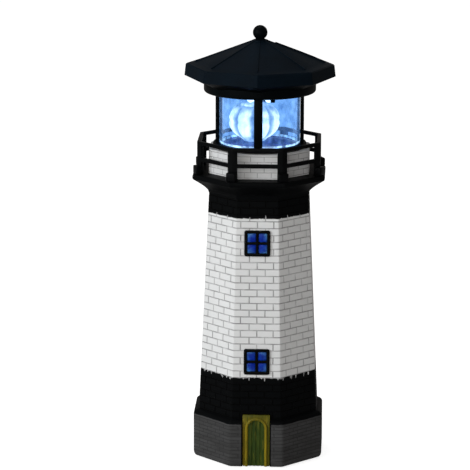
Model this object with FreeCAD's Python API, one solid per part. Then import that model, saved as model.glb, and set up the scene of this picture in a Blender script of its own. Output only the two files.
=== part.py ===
import FreeCAD, Part
import math
import os

from FreeCAD import Placement, Rotation, Vector

# A garden lighthouse lamp: a hollow eight-sided tower with a brick finish, a railed gallery, and
# a solar lamp head whose beacon turns inside a round lens.  Millimetres, +Z up.  The origin is
# the middle of the footprint on the ground, and the door faces -Y.  A radius of an eight-sided
# piece is measured to its corners.

SIDES = 8
FLAT = math.cos(math.pi / SIDES)          # corner radius to flat distance
FACE_FRONT = 22.5                         # turn that puts a flat at the front
CORNER_FRONT = 0.0                        # turn that puts a corner at the front
TOUCH = 0.05                              # clearance of a running fit, per side
SLIP = 0.15                               # clearance of a loose fit, per side

# Tower, from the ground up
FOOT_PROUD = 0.8                          # how far the pads lift the plinth's edge
PLINTH_RADIUS = 44.2
PLINTH_TOP = 29.5
PLINTH_EDGE = 3.0                         # rounding of the plinth's upright corners
SHOULDER_RISE = 2.0
TOWER_FOOT_RADIUS = 40.6
TOWER_TOP_RADIUS = 33.8
TOWER_RISE = 141.0
COVE_RISE = 8.2
DECK_LIP = 3.5
DECK_OVERHANG = 3.15                      # deck edge past the railing
TOWER_WALL = 2.6

# Openings in the tower's front face
WINDOW_WIDTH = 16.2
WINDOW_HEIGHT = 16.4
WINDOW_BORDER = 1.8
WINDOW_BAR = 1.4
WINDOW_DEPTH = 2.2
WINDOW_SINK = 1.1                         # how deep the window is let into the wall
WINDOW_GLASS = 0.9
LOWER_WINDOW_Z = 68.4
UPPER_WINDOW_Z = 143.8
DOOR_WIDTH = 17.5
DOOR_TOP = 34.4
DOOR_LEAF_WIDTH = 10.4
DOOR_SINK = 3.8
DOOR_FRAME_DEPTH = 2.0
DOOR_LEAF_DEPTH = 1.3
DOOR_PLANKS = 4
PLANK_GROOVE = 0.5

# Gallery and watch room
WATCH_RISE = 15.3
WATCH_LEDGE = 2.0
LEDGE_WIDTH = 4.6                         # watch room corner past the lens frame's foot
WALKWAY = 5.2                             # between the watch room and the railing, at a corner
RAIL_THICK = 2.55
RAIL_RISE = 20.7
RAIL_TOP_BAR = 2.2
RAIL_MID_BAR = 2.4
RAIL_MID_Z = 8.2                          # underside of the middle bar above the deck
POST_WIDTH = 3.6                          # each side of a corner
POST_FOOT = 1.7
POST_FOOT_RISE = 5.3
POST_FOOT_WIDTH = 6.4
DECK_SPIGOT = 5.0

# Lens and its frame
LENS_RADIUS = 25.3
LENS_WALL = 1.5
LENS_RISE = 33.7                          # lens foot to the underside of the cap
LENS_FLOOR = 0.8
FRAME_BAR_WIDTH = 5.3
FRAME_BAR_THICK = 2.3
FRAME_BARS = 4
FRAME_FOOT = 2.0
FOOT_FLANGE = 1.6                         # frame foot past the bars
GASKET = 0.8
SPIGOT_WALL = 1.6
SPIGOT_LENGTH = 6.0
HOOKS = 4
HOOK_REACH = 1.0
HOOK_RISE = 2.4

# Cap
RIM_WALL = 1.6                            # ring under the cap that locates on the frame
RIM_DROP = 1.5
SWITCH_CHANNEL = 3.7                      # room between that ring and the collar
COLLAR_WALL = 2.0
COLLAR_DROP = 1.7                         # collar below the cap's ceiling
COLLAR_BAND = 4.6                         # height of the collar's upright band
CEILING = 2.0
SOFFIT_RISE = 5.2
EAVE_RADIUS = 47.5
EAVE_TOP_RADIUS = 46.6
EAVE_RISE = 7.7
LIP_WIDTH = 5.3
LIP_RISE = 1.0
ROOF_RISE = 13.7
ROOF_TOP_RADIUS = 4.5
ROOF_WALL = 2.0
RIB_WIDTH = 1.9
RIB_PROUD = 0.6
BALL_RADIUS = 4.6
BALL_NECK = 3.1
BALL_LIFT = 4.9                           # ball's centre above the roof's top
FINIAL_PIN = 1.7
FINIAL_PIN_LENGTH = 3.6

# Solar panel on one rear facet
PANEL_AZIMUTH = 22.5
PANEL_START = 5.5                         # up the slope from the lip
PANEL_LENGTH = 24.0
PANEL_MARGIN = 2.2                        # from the ribs
PANEL_PROUD = 0.9
BEZEL_WIDTH = 1.5
CELL_THICK = 0.6
LEAD_HOLE = 1.6

# Beacon and its drive
BEACON_SIDE_GAP = 4.2                     # globe's furthest reach to the lens
BEACON_FOOT_GAP = 1.0                     # globe to the lens floor
BEACON_LAMP_GAP = 1.6                     # globe's open rim to the lamps
BEACON_OPEN = 0.78                        # rim height above the middle, over the half height
BEACON_OFFSET = -3.4                      # the globe's middle stands off the shaft
BEACON_WALL = 1.4
BEACON_FACETS = 9
BEACON_FOOT_ANGLE = -66.0                 # where the flat foot ends, seen from the globe's middle
BEACON_PAD = 4.0
BEACON_PAD_RISE = 1.6
SHAFT_RADIUS = 1.0
SHAFT_IN_GEARS = 7.0
REFLECTOR_BELOW_RIM = 3.0
REFLECTOR_FOOT = 5.4
REFLECTOR_TOP = 2.3
REFLECTOR_PLUG = 2.4
GEARBOX = (12.0, 10.0, 9.0)
MOTOR = (12.0, 10.0, 11.5)
MOTOR_CORNER = 2.5
STRAP_WIDTH = 6.0
STRAP_THICK = 1.2
STRAP_FOOT = 6.0
LED_BOARD_RADIUS = 12.0
LED_BOARD_THICK = 1.2
LED_COUNT = 3
LED_RING = 6.6
LED_RADIUS = 2.5
LED_LENGTH = 4.6

# Battery, board and switch
CELL_RADIUS = 5.25
CELL_LENGTH = 29.5
HOLDER_WALL = 1.2
HOLDER_RISE = 8.0
HOLDER_END = 2.6
HOLDER_GAP = 2.6                          # motor to the holder
CONTACT = 0.4
BOARD = (24.0, 13.0, 1.2)
TERMINAL_RISE = 2.5
BOARD_LIFT = 2.5
BOARD_GAP = 4.0                           # motor to the board
SWITCH_AZIMUTH = -73.0
SWITCH_BODY = (8.5, 4.0, 4.2)             # along the channel, across it, upwards
KNOB = (2.6, 1.8)
KNOB_DROP = 3.9                           # knob's tip below the ceiling
KNOB_INSIDE = 1.4
KNOB_TRAVEL = 3.0

# Screws and pads
LARGE_SCREW = (1.3, 2.5)                  # radius of the shank and of the head
SMALL_SCREW = (1.0, 1.7)
SCREW_HEAD_RISE = 1.4
SCREW_SLOT = 0.6
CAP_SCREWS = (90.0, 210.0, 330.0)
CAP_SCREW_LENGTH = 10.0
CAP_BOSS = 1.75
BASE_SCREWS = (45.0, 135.0, 225.0, 315.0)
BASE_SCREW_LENGTH = 10.0
BASE_BOSS = 3.2
BASE_BOSS_RISE = 12.0
BASE_COVER = 2.4
MOTOR_SCREW_LENGTH = 4.0
PAD_RADIUS = 5.0
PAD_RING = 29.0
PAD_AZIMUTHS = (0.0, 90.0, 180.0)
LEAD_RADIUS = 0.6
LEAD_BEND = 2.4                           # how far a lead stands off before it turns
LEAD_GAP = 0.1                            # solder between a lead's end and what it meets

# Levels and radii that follow from those sizes
SHOULDER_TOP = PLINTH_TOP + SHOULDER_RISE
TOWER_TOP = SHOULDER_TOP + TOWER_RISE
DECK_Z = TOWER_TOP + COVE_RISE + DECK_LIP
LEDGE_Z = DECK_Z + WATCH_RISE
FRAME_Z = LEDGE_Z + GASKET
LENS_Z = FRAME_Z + FRAME_FOOT / 2
CEILING_Z = LENS_Z + LENS_RISE + 1.0
COLLAR_Z = CEILING_Z - COLLAR_DROP
INSIDE_Z = CEILING_Z + CEILING
SOFFIT_Z = COLLAR_Z + COLLAR_BAND
EAVE_Z = SOFFIT_Z + SOFFIT_RISE
EAVE_TOP_Z = EAVE_Z + EAVE_RISE
LIP_Z = EAVE_TOP_Z + LIP_RISE
ROOF_TOP_Z = LIP_Z + ROOF_RISE
LIP_RADIUS = EAVE_TOP_RADIUS - LIP_WIDTH

BAR_INNER = LENS_RADIUS + SLIP
BAR_OUTER = BAR_INNER + FRAME_BAR_THICK
FOOT_RADIUS = BAR_OUTER + FOOT_FLANGE
WATCH_RADIUS = FOOT_RADIUS + LEDGE_WIDTH
RAIL_INNER = WATCH_RADIUS + WALKWAY
RAIL_RADIUS = RAIL_INNER + RAIL_THICK
DECK_RADIUS = RAIL_RADIUS + DECK_OVERHANG
SPIGOT_RADIUS = LENS_RADIUS
SEAT_RADIUS = SPIGOT_RADIUS + TOUCH
DECK_HOLE = SEAT_RADIUS + HOOK_REACH + 1.0
RIM_INNER = BAR_OUTER + SLIP
RIM_OUTER = RIM_INNER + RIM_WALL
COLLAR_INNER = RIM_OUTER + SWITCH_CHANNEL
COLLAR_RADIUS = COLLAR_INNER + COLLAR_WALL
SWITCH_RING = RIM_OUTER + 0.3 + KNOB[1] / 2
BOSS_RING = (RIM_OUTER + COLLAR_INNER) / 2


def octagon(radius, z, turn):
    """Closed eight-sided wire whose first corner is turned from +X."""
    points = []
    for corner in range(SIDES + 1):
        angle = math.radians(turn + 360.0 * corner / SIDES)
        points.append(Vector(radius * math.cos(angle), radius * math.sin(angle), z))
    return Part.makePolygon(points)


def stack(levels, turn):
    """Solid through eight-sided levels, given as (radius, z) from the bottom up."""
    parts = []
    for low, high in zip(levels[:-1], levels[1:]):
        wires = [octagon(low[0], low[1], turn), octagon(high[0], high[1], turn)]
        parts.append(Part.makeLoft(wires, True, True))
    solid = parts[0]
    for part in parts[1:]:
        solid = solid.fuse(part)
    return solid


def disc(radius, low, high, x=0.0, y=0.0):
    return Part.makeCylinder(radius, high - low, Vector(x, y, low))


def ring(inner, outer, low, high):
    return disc(outer, low, high).cut(disc(inner, low - 1, high + 1))


def box(x, y, z):
    """Box between two limits on each axis."""
    return Part.makeBox(x[1] - x[0], y[1] - y[0], z[1] - z[0], Vector(x[0], y[0], z[0]))


def centred(width, depth, low, high, x=0.0, y=0.0):
    return box((x - width / 2, x + width / 2), (y - depth / 2, y + depth / 2), (low, high))


def turned(shape, degrees):
    moved = shape.copy()
    moved.rotate(Vector(0, 0, 0), Vector(0, 0, 1), degrees)
    return moved


def placed(shape, placement):
    moved = shape.copy()
    moved.Placement = placement.multiply(shape.Placement)
    return moved


def joined(shapes):
    solid = shapes[0]
    for shape in shapes[1:]:
        solid = solid.fuse(shape)
    return solid


def around(azimuths, radius):
    """Points on a circle about the tower's axis."""
    for azimuth in azimuths:
        angle = math.radians(azimuth)
        yield azimuth, radius * math.cos(angle), radius * math.sin(angle)


def save(name, shapes):
    """One sub-part: a single solid, or a group of like pieces."""
    solids = []
    for shape in shapes:
        found = shape.Solids
        if len(found) != 1 or not shape.isValid():
            print("CHECK", name, "solids", len(found), "valid", shape.isValid())
        solids += found
    whole = solids[0] if len(solids) == 1 else Part.makeCompound(solids)
    whole.exportStep("parts/" + name + ".step")
    print("%-22s %2d solid  %9.1f mm3" % (name, len(solids), whole.Volume))


def screw(size, x, y, seat, length, upwards=True):
    """Cross-head screw whose head bears on the level seat."""
    way = 1.0 if upwards else -1.0
    shank = Part.makeCylinder(size[0], length, Vector(x, y, seat), Vector(0, 0, way))
    head = Part.makeCylinder(size[1], SCREW_HEAD_RISE, Vector(x, y, seat), Vector(0, 0, -way))
    face = seat - way * SCREW_HEAD_RISE
    low, high = sorted((face, face + way * SCREW_SLOT))
    slot = centred(1.1 * size[1], 0.3 * size[1], low, high, x, y)
    cross = centred(0.3 * size[1], 1.1 * size[1], low, high, x, y)
    return shank.fuse(head).cut(slot).cut(cross)


# Tower ------------------------------------------------------------------------------------------

def tower_flat(z):
    """Distance of the tower's flats from its axis at a height."""
    share = (z - SHOULDER_TOP) / TOWER_RISE
    return FLAT * (TOWER_FOOT_RADIUS + share * (TOWER_TOP_RADIUS - TOWER_FOOT_RADIUS))


def tower_tilt():
    """Lean of the tower's flats, in degrees."""
    return math.degrees(math.atan(FLAT * (TOWER_FOOT_RADIUS - TOWER_TOP_RADIUS) / TOWER_RISE))


def on_front(z):
    """Placement that lays a piece drawn at y = 0 on the tower's front flat."""
    lean = Rotation(Vector(1, 0, 0), -tower_tilt())
    return Placement(Vector(0, -tower_flat(z), z), lean)


def cove_levels():
    """Hollow curve from the tower's top out to the deck's edge."""
    steps = 5
    reach = DECK_RADIUS - TOWER_TOP_RADIUS
    for step in range(steps + 1):
        angle = math.radians(90.0 * step / steps)
        blend = 0.55 * (1 - math.cos(angle)) + 0.45 * step / steps
        yield TOWER_TOP_RADIUS + reach * blend, TOWER_TOP + COVE_RISE * step / steps


def plinth_block():
    block = stack([(PLINTH_RADIUS, FOOT_PROUD), (PLINTH_RADIUS, PLINTH_TOP)], FACE_FRONT)
    upright = [edge for edge in block.Edges if abs(edge.tangentAt(edge.FirstParameter).z) > 0.9]
    block = block.makeFillet(PLINTH_EDGE, upright)
    shoulder_mid = TOWER_FOOT_RADIUS + 0.72 * (PLINTH_RADIUS - TOWER_FOOT_RADIUS)
    shoulder = stack([(PLINTH_RADIUS - 0.35, PLINTH_TOP),
                      (shoulder_mid, PLINTH_TOP + 0.7 * SHOULDER_RISE),
                      (TOWER_FOOT_RADIUS, SHOULDER_TOP)], FACE_FRONT)
    return block.fuse(shoulder)


def window_pocket(z):
    pocket = centred(WINDOW_WIDTH + 2 * SLIP, 2 * WINDOW_SINK, -WINDOW_HEIGHT / 2 - SLIP,
                     WINDOW_HEIGHT / 2 + SLIP)
    return placed(pocket, on_front(z))


def tower_shell():
    """Whole hollow outline from the plinth to the gallery's deck."""
    plinth_flat = FLAT * PLINTH_RADIUS
    outer = plinth_block().fuse(stack([(TOWER_FOOT_RADIUS, SHOULDER_TOP),
                                       (TOWER_TOP_RADIUS, TOWER_TOP)], FACE_FRONT))
    outer = outer.fuse(stack(list(cove_levels()), FACE_FRONT))
    lip = [(DECK_RADIUS, DECK_Z - DECK_LIP), (DECK_RADIUS, DECK_Z - 1.0), (DECK_RADIUS - 0.8, DECK_Z)]
    outer = outer.fuse(stack(lip, FACE_FRONT))
    skin = TOWER_WALL / FLAT
    inner = stack([(PLINTH_RADIUS - skin, FOOT_PROUD - 1),
                   (PLINTH_RADIUS - skin, PLINTH_TOP - 2),
                   (TOWER_FOOT_RADIUS - skin, SHOULDER_TOP),
                   (TOWER_TOP_RADIUS - skin, TOWER_TOP + 2),
                   (TOWER_TOP_RADIUS, DECK_Z - TOWER_WALL)], FACE_FRONT)
    shell = outer.cut(inner)
    shell = shell.fuse(niche(FOOT_PROUD, DOOR_TOP + TOWER_WALL, 0.0).common(outer))
    for _, x, y in base_bosses():
        shell = shell.fuse(disc(BASE_BOSS, base_top(), base_top() + BASE_BOSS_RISE, x, y))
    shell = shell.cut(disc(DECK_HOLE, DECK_Z - 8, DECK_Z + 1))
    recess = centred(DOOR_WIDTH, 2 * DOOR_SINK, FOOT_PROUD - 1, DOOR_TOP, 0.0, -plinth_flat)
    shell = shell.cut(recess)
    for _, x, y in base_bosses():
        hole = disc(LARGE_SCREW[0], base_top() - 1, base_top() + BASE_SCREW_LENGTH, x, y)
        shell = shell.cut(hole)
    for z in (LOWER_WINDOW_Z, UPPER_WINDOW_Z):
        shell = shell.cut(window_pocket(z))
    return shell


def tower_mouldings():
    """The three mouldings of the tower, which meet on level seams."""
    shell = tower_shell()
    seams = [FOOT_PROUD - 1, SHOULDER_TOP, TOWER_TOP, DECK_Z + 1]
    names = ("plinth", "tower_wall", "gallery_deck")
    for name, low, high in zip(names, seams[:-1], seams[1:]):
        yield name, shell.common(disc(2 * DECK_RADIUS, low, high))


def base_top():
    """Level of the base cover's upper face."""
    return FOOT_PROUD + 0.8 + BASE_COVER


def niche(low, high, grow):
    """Block behind the door's recess, grown all round for the room that it needs."""
    half = DOOR_WIDTH / 2 + TOWER_WALL + grow
    front = -FLAT * PLINTH_RADIUS
    return box((-half, half), (front - grow, front + DOOR_SINK + TOWER_WALL + grow), (low, high))


def base_bosses():
    return around(BASE_SCREWS, FLAT * PLINTH_RADIUS - TOWER_WALL - BASE_BOSS + 0.4)


def base_cover():
    """Plate that closes the plinth, notched for the door's niche."""
    skin = (TOWER_WALL + SLIP) / FLAT
    low = base_top() - BASE_COVER
    plate = stack([(PLINTH_RADIUS - skin, low), (PLINTH_RADIUS - skin, base_top())], FACE_FRONT)
    plate = plate.cut(niche(low - 1, base_top() + 1, SLIP))
    for _, x, y in base_bosses():
        plate = plate.cut(disc(LARGE_SCREW[0] + 0.2, low - 1, base_top() + 1, x, y))
        plate = plate.cut(disc(LARGE_SCREW[1] + 0.3, low - 1, low + SCREW_HEAD_RISE, x, y))
    return plate


def base_screws():
    seat = base_top() - BASE_COVER + SCREW_HEAD_RISE
    return [screw(LARGE_SCREW, x, y, seat, BASE_SCREW_LENGTH) for _, x, y in base_bosses()]


def foot_pads():
    """Three pads on a circle and one behind the door's niche."""
    top = base_top() - BASE_COVER
    front = -FLAT * PLINTH_RADIUS + DOOR_SINK + 2 * TOWER_WALL + PAD_RADIUS
    pads = [disc(PAD_RADIUS, 0, top, x, y) for _, x, y in around(PAD_AZIMUTHS, PAD_RING)]
    return pads + [disc(PAD_RADIUS, 0, top, 0.0, front)]


def window_lights():
    """Middles and size of a window's four lights."""
    width = (WINDOW_WIDTH - 2 * WINDOW_BORDER - WINDOW_BAR) / 2
    height = (WINDOW_HEIGHT - 2 * WINDOW_BORDER - WINDOW_BAR) / 2
    for side in (-1, 1):
        for level in (-1, 1):
            yield side * (width + WINDOW_BAR) / 2, level * (height + WINDOW_BAR) / 2, width, height


def window_frame(z):
    """Black frame with a cross, let into the wall."""
    front = -(WINDOW_DEPTH - WINDOW_SINK)
    frame = box((-WINDOW_WIDTH / 2, WINDOW_WIDTH / 2), (front, WINDOW_SINK),
                (-WINDOW_HEIGHT / 2, WINDOW_HEIGHT / 2))
    rebate = WINDOW_BORDER / 2
    back = box((-WINDOW_WIDTH / 2 + rebate, WINDOW_WIDTH / 2 - rebate),
               (WINDOW_SINK - WINDOW_GLASS, WINDOW_SINK + 1),
               (-WINDOW_HEIGHT / 2 + rebate, WINDOW_HEIGHT / 2 - rebate))
    frame = frame.cut(back)
    for x, up, width, height in window_lights():
        frame = frame.cut(box((x - width / 2, x + width / 2), (front - 1, WINDOW_SINK),
                              (up - height / 2, up + height / 2)))
    return placed(frame, on_front(z))


def window_glass(z):
    """Blue glass behind the frame, with a raised pane in each light."""
    rebate = WINDOW_BORDER / 2 + SLIP
    glass = box((-WINDOW_WIDTH / 2 + rebate, WINDOW_WIDTH / 2 - rebate),
                (WINDOW_SINK - WINDOW_GLASS, WINDOW_SINK),
                (-WINDOW_HEIGHT / 2 + rebate, WINDOW_HEIGHT / 2 - rebate))
    for x, up, width, height in window_lights():
        width -= 2 * TOUCH
        height -= 2 * TOUCH
        glass = glass.fuse(box((x - width / 2, x + width / 2), (-0.5, WINDOW_SINK - WINDOW_GLASS),
                               (up - height / 2, up + height / 2)))
    return placed(glass, on_front(z))


def arch(width, low, high, front, back):
    """Upright slab with a round head."""
    radius = width / 2
    slab = box((-radius, radius), (front, back), (low, high - radius))
    head = Part.makeCylinder(radius, back - front, Vector(0, front, high - radius), Vector(0, 1, 0))
    return slab.fuse(head)


def door_back():
    return -FLAT * PLINTH_RADIUS + DOOR_SINK


def door_surround():
    """Arched surround in the plinth's niche."""
    back = door_back()
    width = DOOR_WIDTH - 2 * SLIP
    outer = box((-width / 2, width / 2), (back - DOOR_FRAME_DEPTH, back),
                (FOOT_PROUD, DOOR_TOP - SLIP))
    opening_top = DOOR_TOP - (width - DOOR_LEAF_WIDTH) / 2
    return outer.cut(arch(DOOR_LEAF_WIDTH, FOOT_PROUD - 1, opening_top, back - 5, back + 1))


def door_leaf():
    """Planked door inside the surround."""
    back = door_back()
    top = DOOR_TOP - (DOOR_WIDTH - 2 * SLIP - DOOR_LEAF_WIDTH) / 2
    front = back - DOOR_LEAF_DEPTH
    leaf = arch(DOOR_LEAF_WIDTH - 2 * TOUCH, FOOT_PROUD, top - TOUCH, front, back)
    for groove in range(1, DOOR_PLANKS):
        x = -DOOR_LEAF_WIDTH / 2 + groove * DOOR_LEAF_WIDTH / DOOR_PLANKS
        leaf = leaf.cut(centred(PLANK_GROOVE, 0.8, FOOT_PROUD - 1, top + 1, x, front))
    return leaf


# Gallery ----------------------------------------------------------------------------------------

def watch_room():
    """Wall under the lens, with the ledge that seats it."""
    skin = TOWER_WALL / FLAT
    room = stack([(WATCH_RADIUS, DECK_Z), (WATCH_RADIUS, LEDGE_Z)], FACE_FRONT)
    hollow = stack([(WATCH_RADIUS - skin, DECK_Z - 1), (WATCH_RADIUS - skin, LEDGE_Z - WATCH_LEDGE)],
                   FACE_FRONT)
    room = room.cut(hollow)
    floor = stack([(WATCH_RADIUS - skin / 2, DECK_Z), (WATCH_RADIUS - skin / 2, DECK_Z + 1.6)],
                  FACE_FRONT)
    room = room.fuse(floor)
    spigot = disc(DECK_HOLE - SLIP, DECK_Z - DECK_SPIGOT, DECK_Z + 1.0)
    room = room.fuse(spigot)
    room = room.cut(disc(DECK_HOLE - SLIP - 1.0, DECK_Z - DECK_SPIGOT - 1, DECK_Z + 3))
    return room.cut(disc(SEAT_RADIUS, LEDGE_Z - WATCH_LEDGE - 1, LEDGE_Z + 1))


def gallery_railing():
    """Railing of one moulding: posts at the corners, two bars, and a foot under each post."""
    top = DECK_Z + RAIL_RISE
    wall = stack([(RAIL_RADIUS, DECK_Z), (RAIL_RADIUS, top)], FACE_FRONT)
    wall = wall.cut(stack([(RAIL_INNER, DECK_Z - 1), (RAIL_INNER, top + 1)], FACE_FRONT))
    gap = 2 * RAIL_RADIUS * math.sin(math.pi / SIDES) - 2 * POST_WIDTH
    rows = ((DECK_Z - 1, DECK_Z + RAIL_MID_Z),
            (DECK_Z + RAIL_MID_Z + RAIL_MID_BAR, top - RAIL_TOP_BAR))
    for side in range(SIDES):
        for low, high in rows:
            opening = centred(2 * RAIL_THICK + 6, gap, low, high, FLAT * RAIL_RADIUS)
            wall = wall.cut(turned(opening, 360.0 * side / SIDES))
    for side in range(SIDES):
        foot = centred(RAIL_THICK + POST_FOOT, POST_FOOT_WIDTH, DECK_Z, DECK_Z + POST_FOOT_RISE,
                       RAIL_RADIUS + POST_FOOT - (RAIL_THICK + POST_FOOT) / 2)
        foot = foot.makeFillet(0.8, [edge for edge in foot.Edges
                                     if edge.CenterOfMass.x > RAIL_RADIUS + POST_FOOT - 0.01])
        wall = wall.fuse(turned(foot, FACE_FRONT + 360.0 * side / SIDES))
    return wall


def seat_gasket():
    return ring(SEAT_RADIUS, FOOT_RADIUS - 0.4, LEDGE_Z, FRAME_Z)


# Lens and frame ---------------------------------------------------------------------------------

def lens_frame():
    """Four bars between a foot and a top ring; hooks below hold it in its seat."""
    floor = ring(LENS_RADIUS - LENS_WALL - 2, FOOT_RADIUS, FRAME_Z, LENS_Z)
    foot = ring(BAR_INNER, FOOT_RADIUS, LENS_Z, FRAME_Z + FRAME_FOOT)
    low = FRAME_Z + FRAME_FOOT - 0.5
    parts = [floor, foot]
    for bar in range(FRAME_BARS):
        piece = centred(FRAME_BAR_THICK, FRAME_BAR_WIDTH, low, CEILING_Z - 1,
                        BAR_INNER + FRAME_BAR_THICK / 2)
        parts.append(turned(piece, 360.0 * bar / FRAME_BARS))
    parts.append(ring(BAR_INNER, BAR_OUTER, CEILING_Z - 2.4, CEILING_Z))
    skirt_low = LEDGE_Z - SPIGOT_LENGTH
    parts.append(ring(SPIGOT_RADIUS - SPIGOT_WALL, SPIGOT_RADIUS, skirt_low, LENS_Z - 0.4))
    hook_top = LEDGE_Z - WATCH_LEDGE - SLIP
    hook_ring = ring(SPIGOT_RADIUS - 0.5, SEAT_RADIUS + HOOK_REACH, hook_top - HOOK_RISE, hook_top)
    for hook in range(HOOKS):
        cutter = centred(8.0, 9.0, hook_top - HOOK_RISE, hook_top, SPIGOT_RADIUS)
        parts.append(hook_ring.common(turned(cutter, 45.0 + 360.0 * hook / HOOKS)))
    frame = joined(parts)
    for slit in range(2 * HOOKS):
        angle = 45.0 + 360.0 * (slit // 2) / HOOKS + (12.5 if slit % 2 else -12.5)
        cut = centred(6.0, 0.9, skirt_low - 1, LEDGE_Z - 1.0, SPIGOT_RADIUS - 1)
        frame = frame.cut(turned(cut, angle))
    return frame


def lens_tube():
    return ring(LENS_RADIUS - LENS_WALL, LENS_RADIUS, LENS_Z, LENS_Z + LENS_RISE)


def lens_floor():
    return disc(LENS_RADIUS - LENS_WALL - TOUCH, LENS_Z, LENS_Z + LENS_FLOOR)


# Cap --------------------------------------------------------------------------------------------

def cap_bosses():
    return list(around(CAP_SCREWS, BOSS_RING))


def switch_turn(shape):
    return turned(shape, SWITCH_AZIMUTH)


def collar_housing():
    """Lower half of the cap: collar, ceiling and soffit."""
    band = disc(COLLAR_RADIUS, COLLAR_Z, SOFFIT_Z + 1.0)
    band = band.makeFillet(1.6, [edge for edge in band.Edges if edge.CenterOfMass.z < COLLAR_Z + 0.1])
    soffit = stack([(COLLAR_RADIUS, SOFFIT_Z), (EAVE_RADIUS, EAVE_Z)], CORNER_FRONT)
    body = band.fuse(soffit)
    rise = ROOF_WALL + 0.4
    inner = stack([(COLLAR_RADIUS, SOFFIT_Z + rise), (EAVE_RADIUS, EAVE_Z + rise)], CORNER_FRONT)
    body = body.cut(inner)
    body = body.cut(disc(COLLAR_INNER, INSIDE_Z, EAVE_Z + 5))
    body = body.cut(disc(COLLAR_INNER, COLLAR_Z - 1, CEILING_Z))
    body = body.fuse(ring(RIM_INNER, RIM_OUTER, CEILING_Z - RIM_DROP, CEILING_Z + 0.5))
    slot = centred(KNOB[1] + 2 * SLIP, KNOB[0] + KNOB_TRAVEL + 4 * SLIP, CEILING_Z - 1, INSIDE_Z + 1,
                   SWITCH_RING, KNOB_TRAVEL / 2)
    body = body.cut(switch_turn(slot))
    body = body.cut(disc(SHAFT_RADIUS + 1.2, CEILING_Z - 1, INSIDE_Z + 1))
    x, y = lamp_lead_hole()
    body = body.cut(disc(LEAD_RADIUS + 0.4, CEILING_Z - 1, INSIDE_Z + 1, x, y))
    for _, x, y in cap_bosses():
        body = body.cut(disc(SMALL_SCREW[0] + 0.2, CEILING_Z - 1, INSIDE_Z + 1, x, y))
    for side in (-1, 1):
        x = side * strap_hole()
        high = INSIDE_Z + MOTOR_SCREW_LENGTH
        body = body.fuse(disc(2.2, INSIDE_Z - 0.5, high, x, 0))
        body = body.cut(disc(SMALL_SCREW[0], INSIDE_Z, high + 1, x, 0))
    for x, y in board_posts():
        body = body.fuse(disc(1.6, INSIDE_Z - 0.5, INSIDE_Z + BOARD_LIFT, x, y))
    return body


def roof_levels(inset, drop):
    return [(EAVE_RADIUS - inset, EAVE_Z - (2.0 if drop else 0.0)),
            (EAVE_TOP_RADIUS - inset, EAVE_TOP_Z - drop),
            (LIP_RADIUS, LIP_Z - drop),
            (ROOF_TOP_RADIUS, ROOF_TOP_Z - drop)]


def roof_rib():
    """Rounded bead along one hip, from the lip to the roof's top."""
    run = LIP_RADIUS - ROOF_TOP_RADIUS
    length = math.hypot(run, ROOF_RISE)
    bead = box((0, length), (-RIB_WIDTH / 2, RIB_WIDTH / 2), (-1.0, RIB_PROUD))
    bead = bead.makeChamfer(0.3, [edge for edge in bead.Edges if edge.CenterOfMass.z > RIB_PROUD - 0.01
                                  and abs(edge.CenterOfMass.y) > RIB_WIDTH / 2 - 0.01])
    tilt = Rotation(Vector(0, 1, 0), -math.degrees(math.atan2(ROOF_RISE, -run)))
    return placed(bead, Placement(Vector(LIP_RADIUS, 0, LIP_Z), tilt))


def facet_place():
    """Placement on the panel's facet: x across, y up the slope, z outwards."""
    run = FLAT * (LIP_RADIUS - ROOF_TOP_RADIUS)
    slope = math.degrees(math.atan2(ROOF_RISE, run))
    flat = Placement(Vector(0, 0, 0), Rotation(Vector(0, 0, 1), PANEL_AZIMUTH + 90.0))
    lean = Placement(Vector(0, -FLAT * LIP_RADIUS, LIP_Z), Rotation(Vector(1, 0, 0), slope))
    return flat.multiply(lean)


def facet_slab(start, length, margin, low, high):
    """Slab that follows the facet's taper, margin in from the hips."""
    run = math.hypot(FLAT * (LIP_RADIUS - ROOF_TOP_RADIUS), ROOF_RISE)
    outline = []
    for side, up in ((-1, start), (1, start), (1, start + length), (-1, start + length)):
        radius = LIP_RADIUS - (LIP_RADIUS - ROOF_TOP_RADIUS) * up / run
        outline.append(Vector(side * (radius * math.sin(math.pi / SIDES) - margin), up, low))
    face = Part.Face(Part.makePolygon(outline + outline[:1]))
    return placed(face.extrude(Vector(0, 0, high - low)), facet_place())


def solar_bezel():
    outer = facet_slab(PANEL_START, PANEL_LENGTH, PANEL_MARGIN, 0.0, PANEL_PROUD)
    return outer.cut(facet_slab(PANEL_START + BEZEL_WIDTH, PANEL_LENGTH - 2 * BEZEL_WIDTH,
                                PANEL_MARGIN + BEZEL_WIDTH, -1.0, PANEL_PROUD + 1))


def solar_cell():
    return facet_slab(PANEL_START + BEZEL_WIDTH + TOUCH, PANEL_LENGTH - 2 * (BEZEL_WIDTH + TOUCH),
                      PANEL_MARGIN + BEZEL_WIDTH + TOUCH, 0.0, CELL_THICK)


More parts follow.
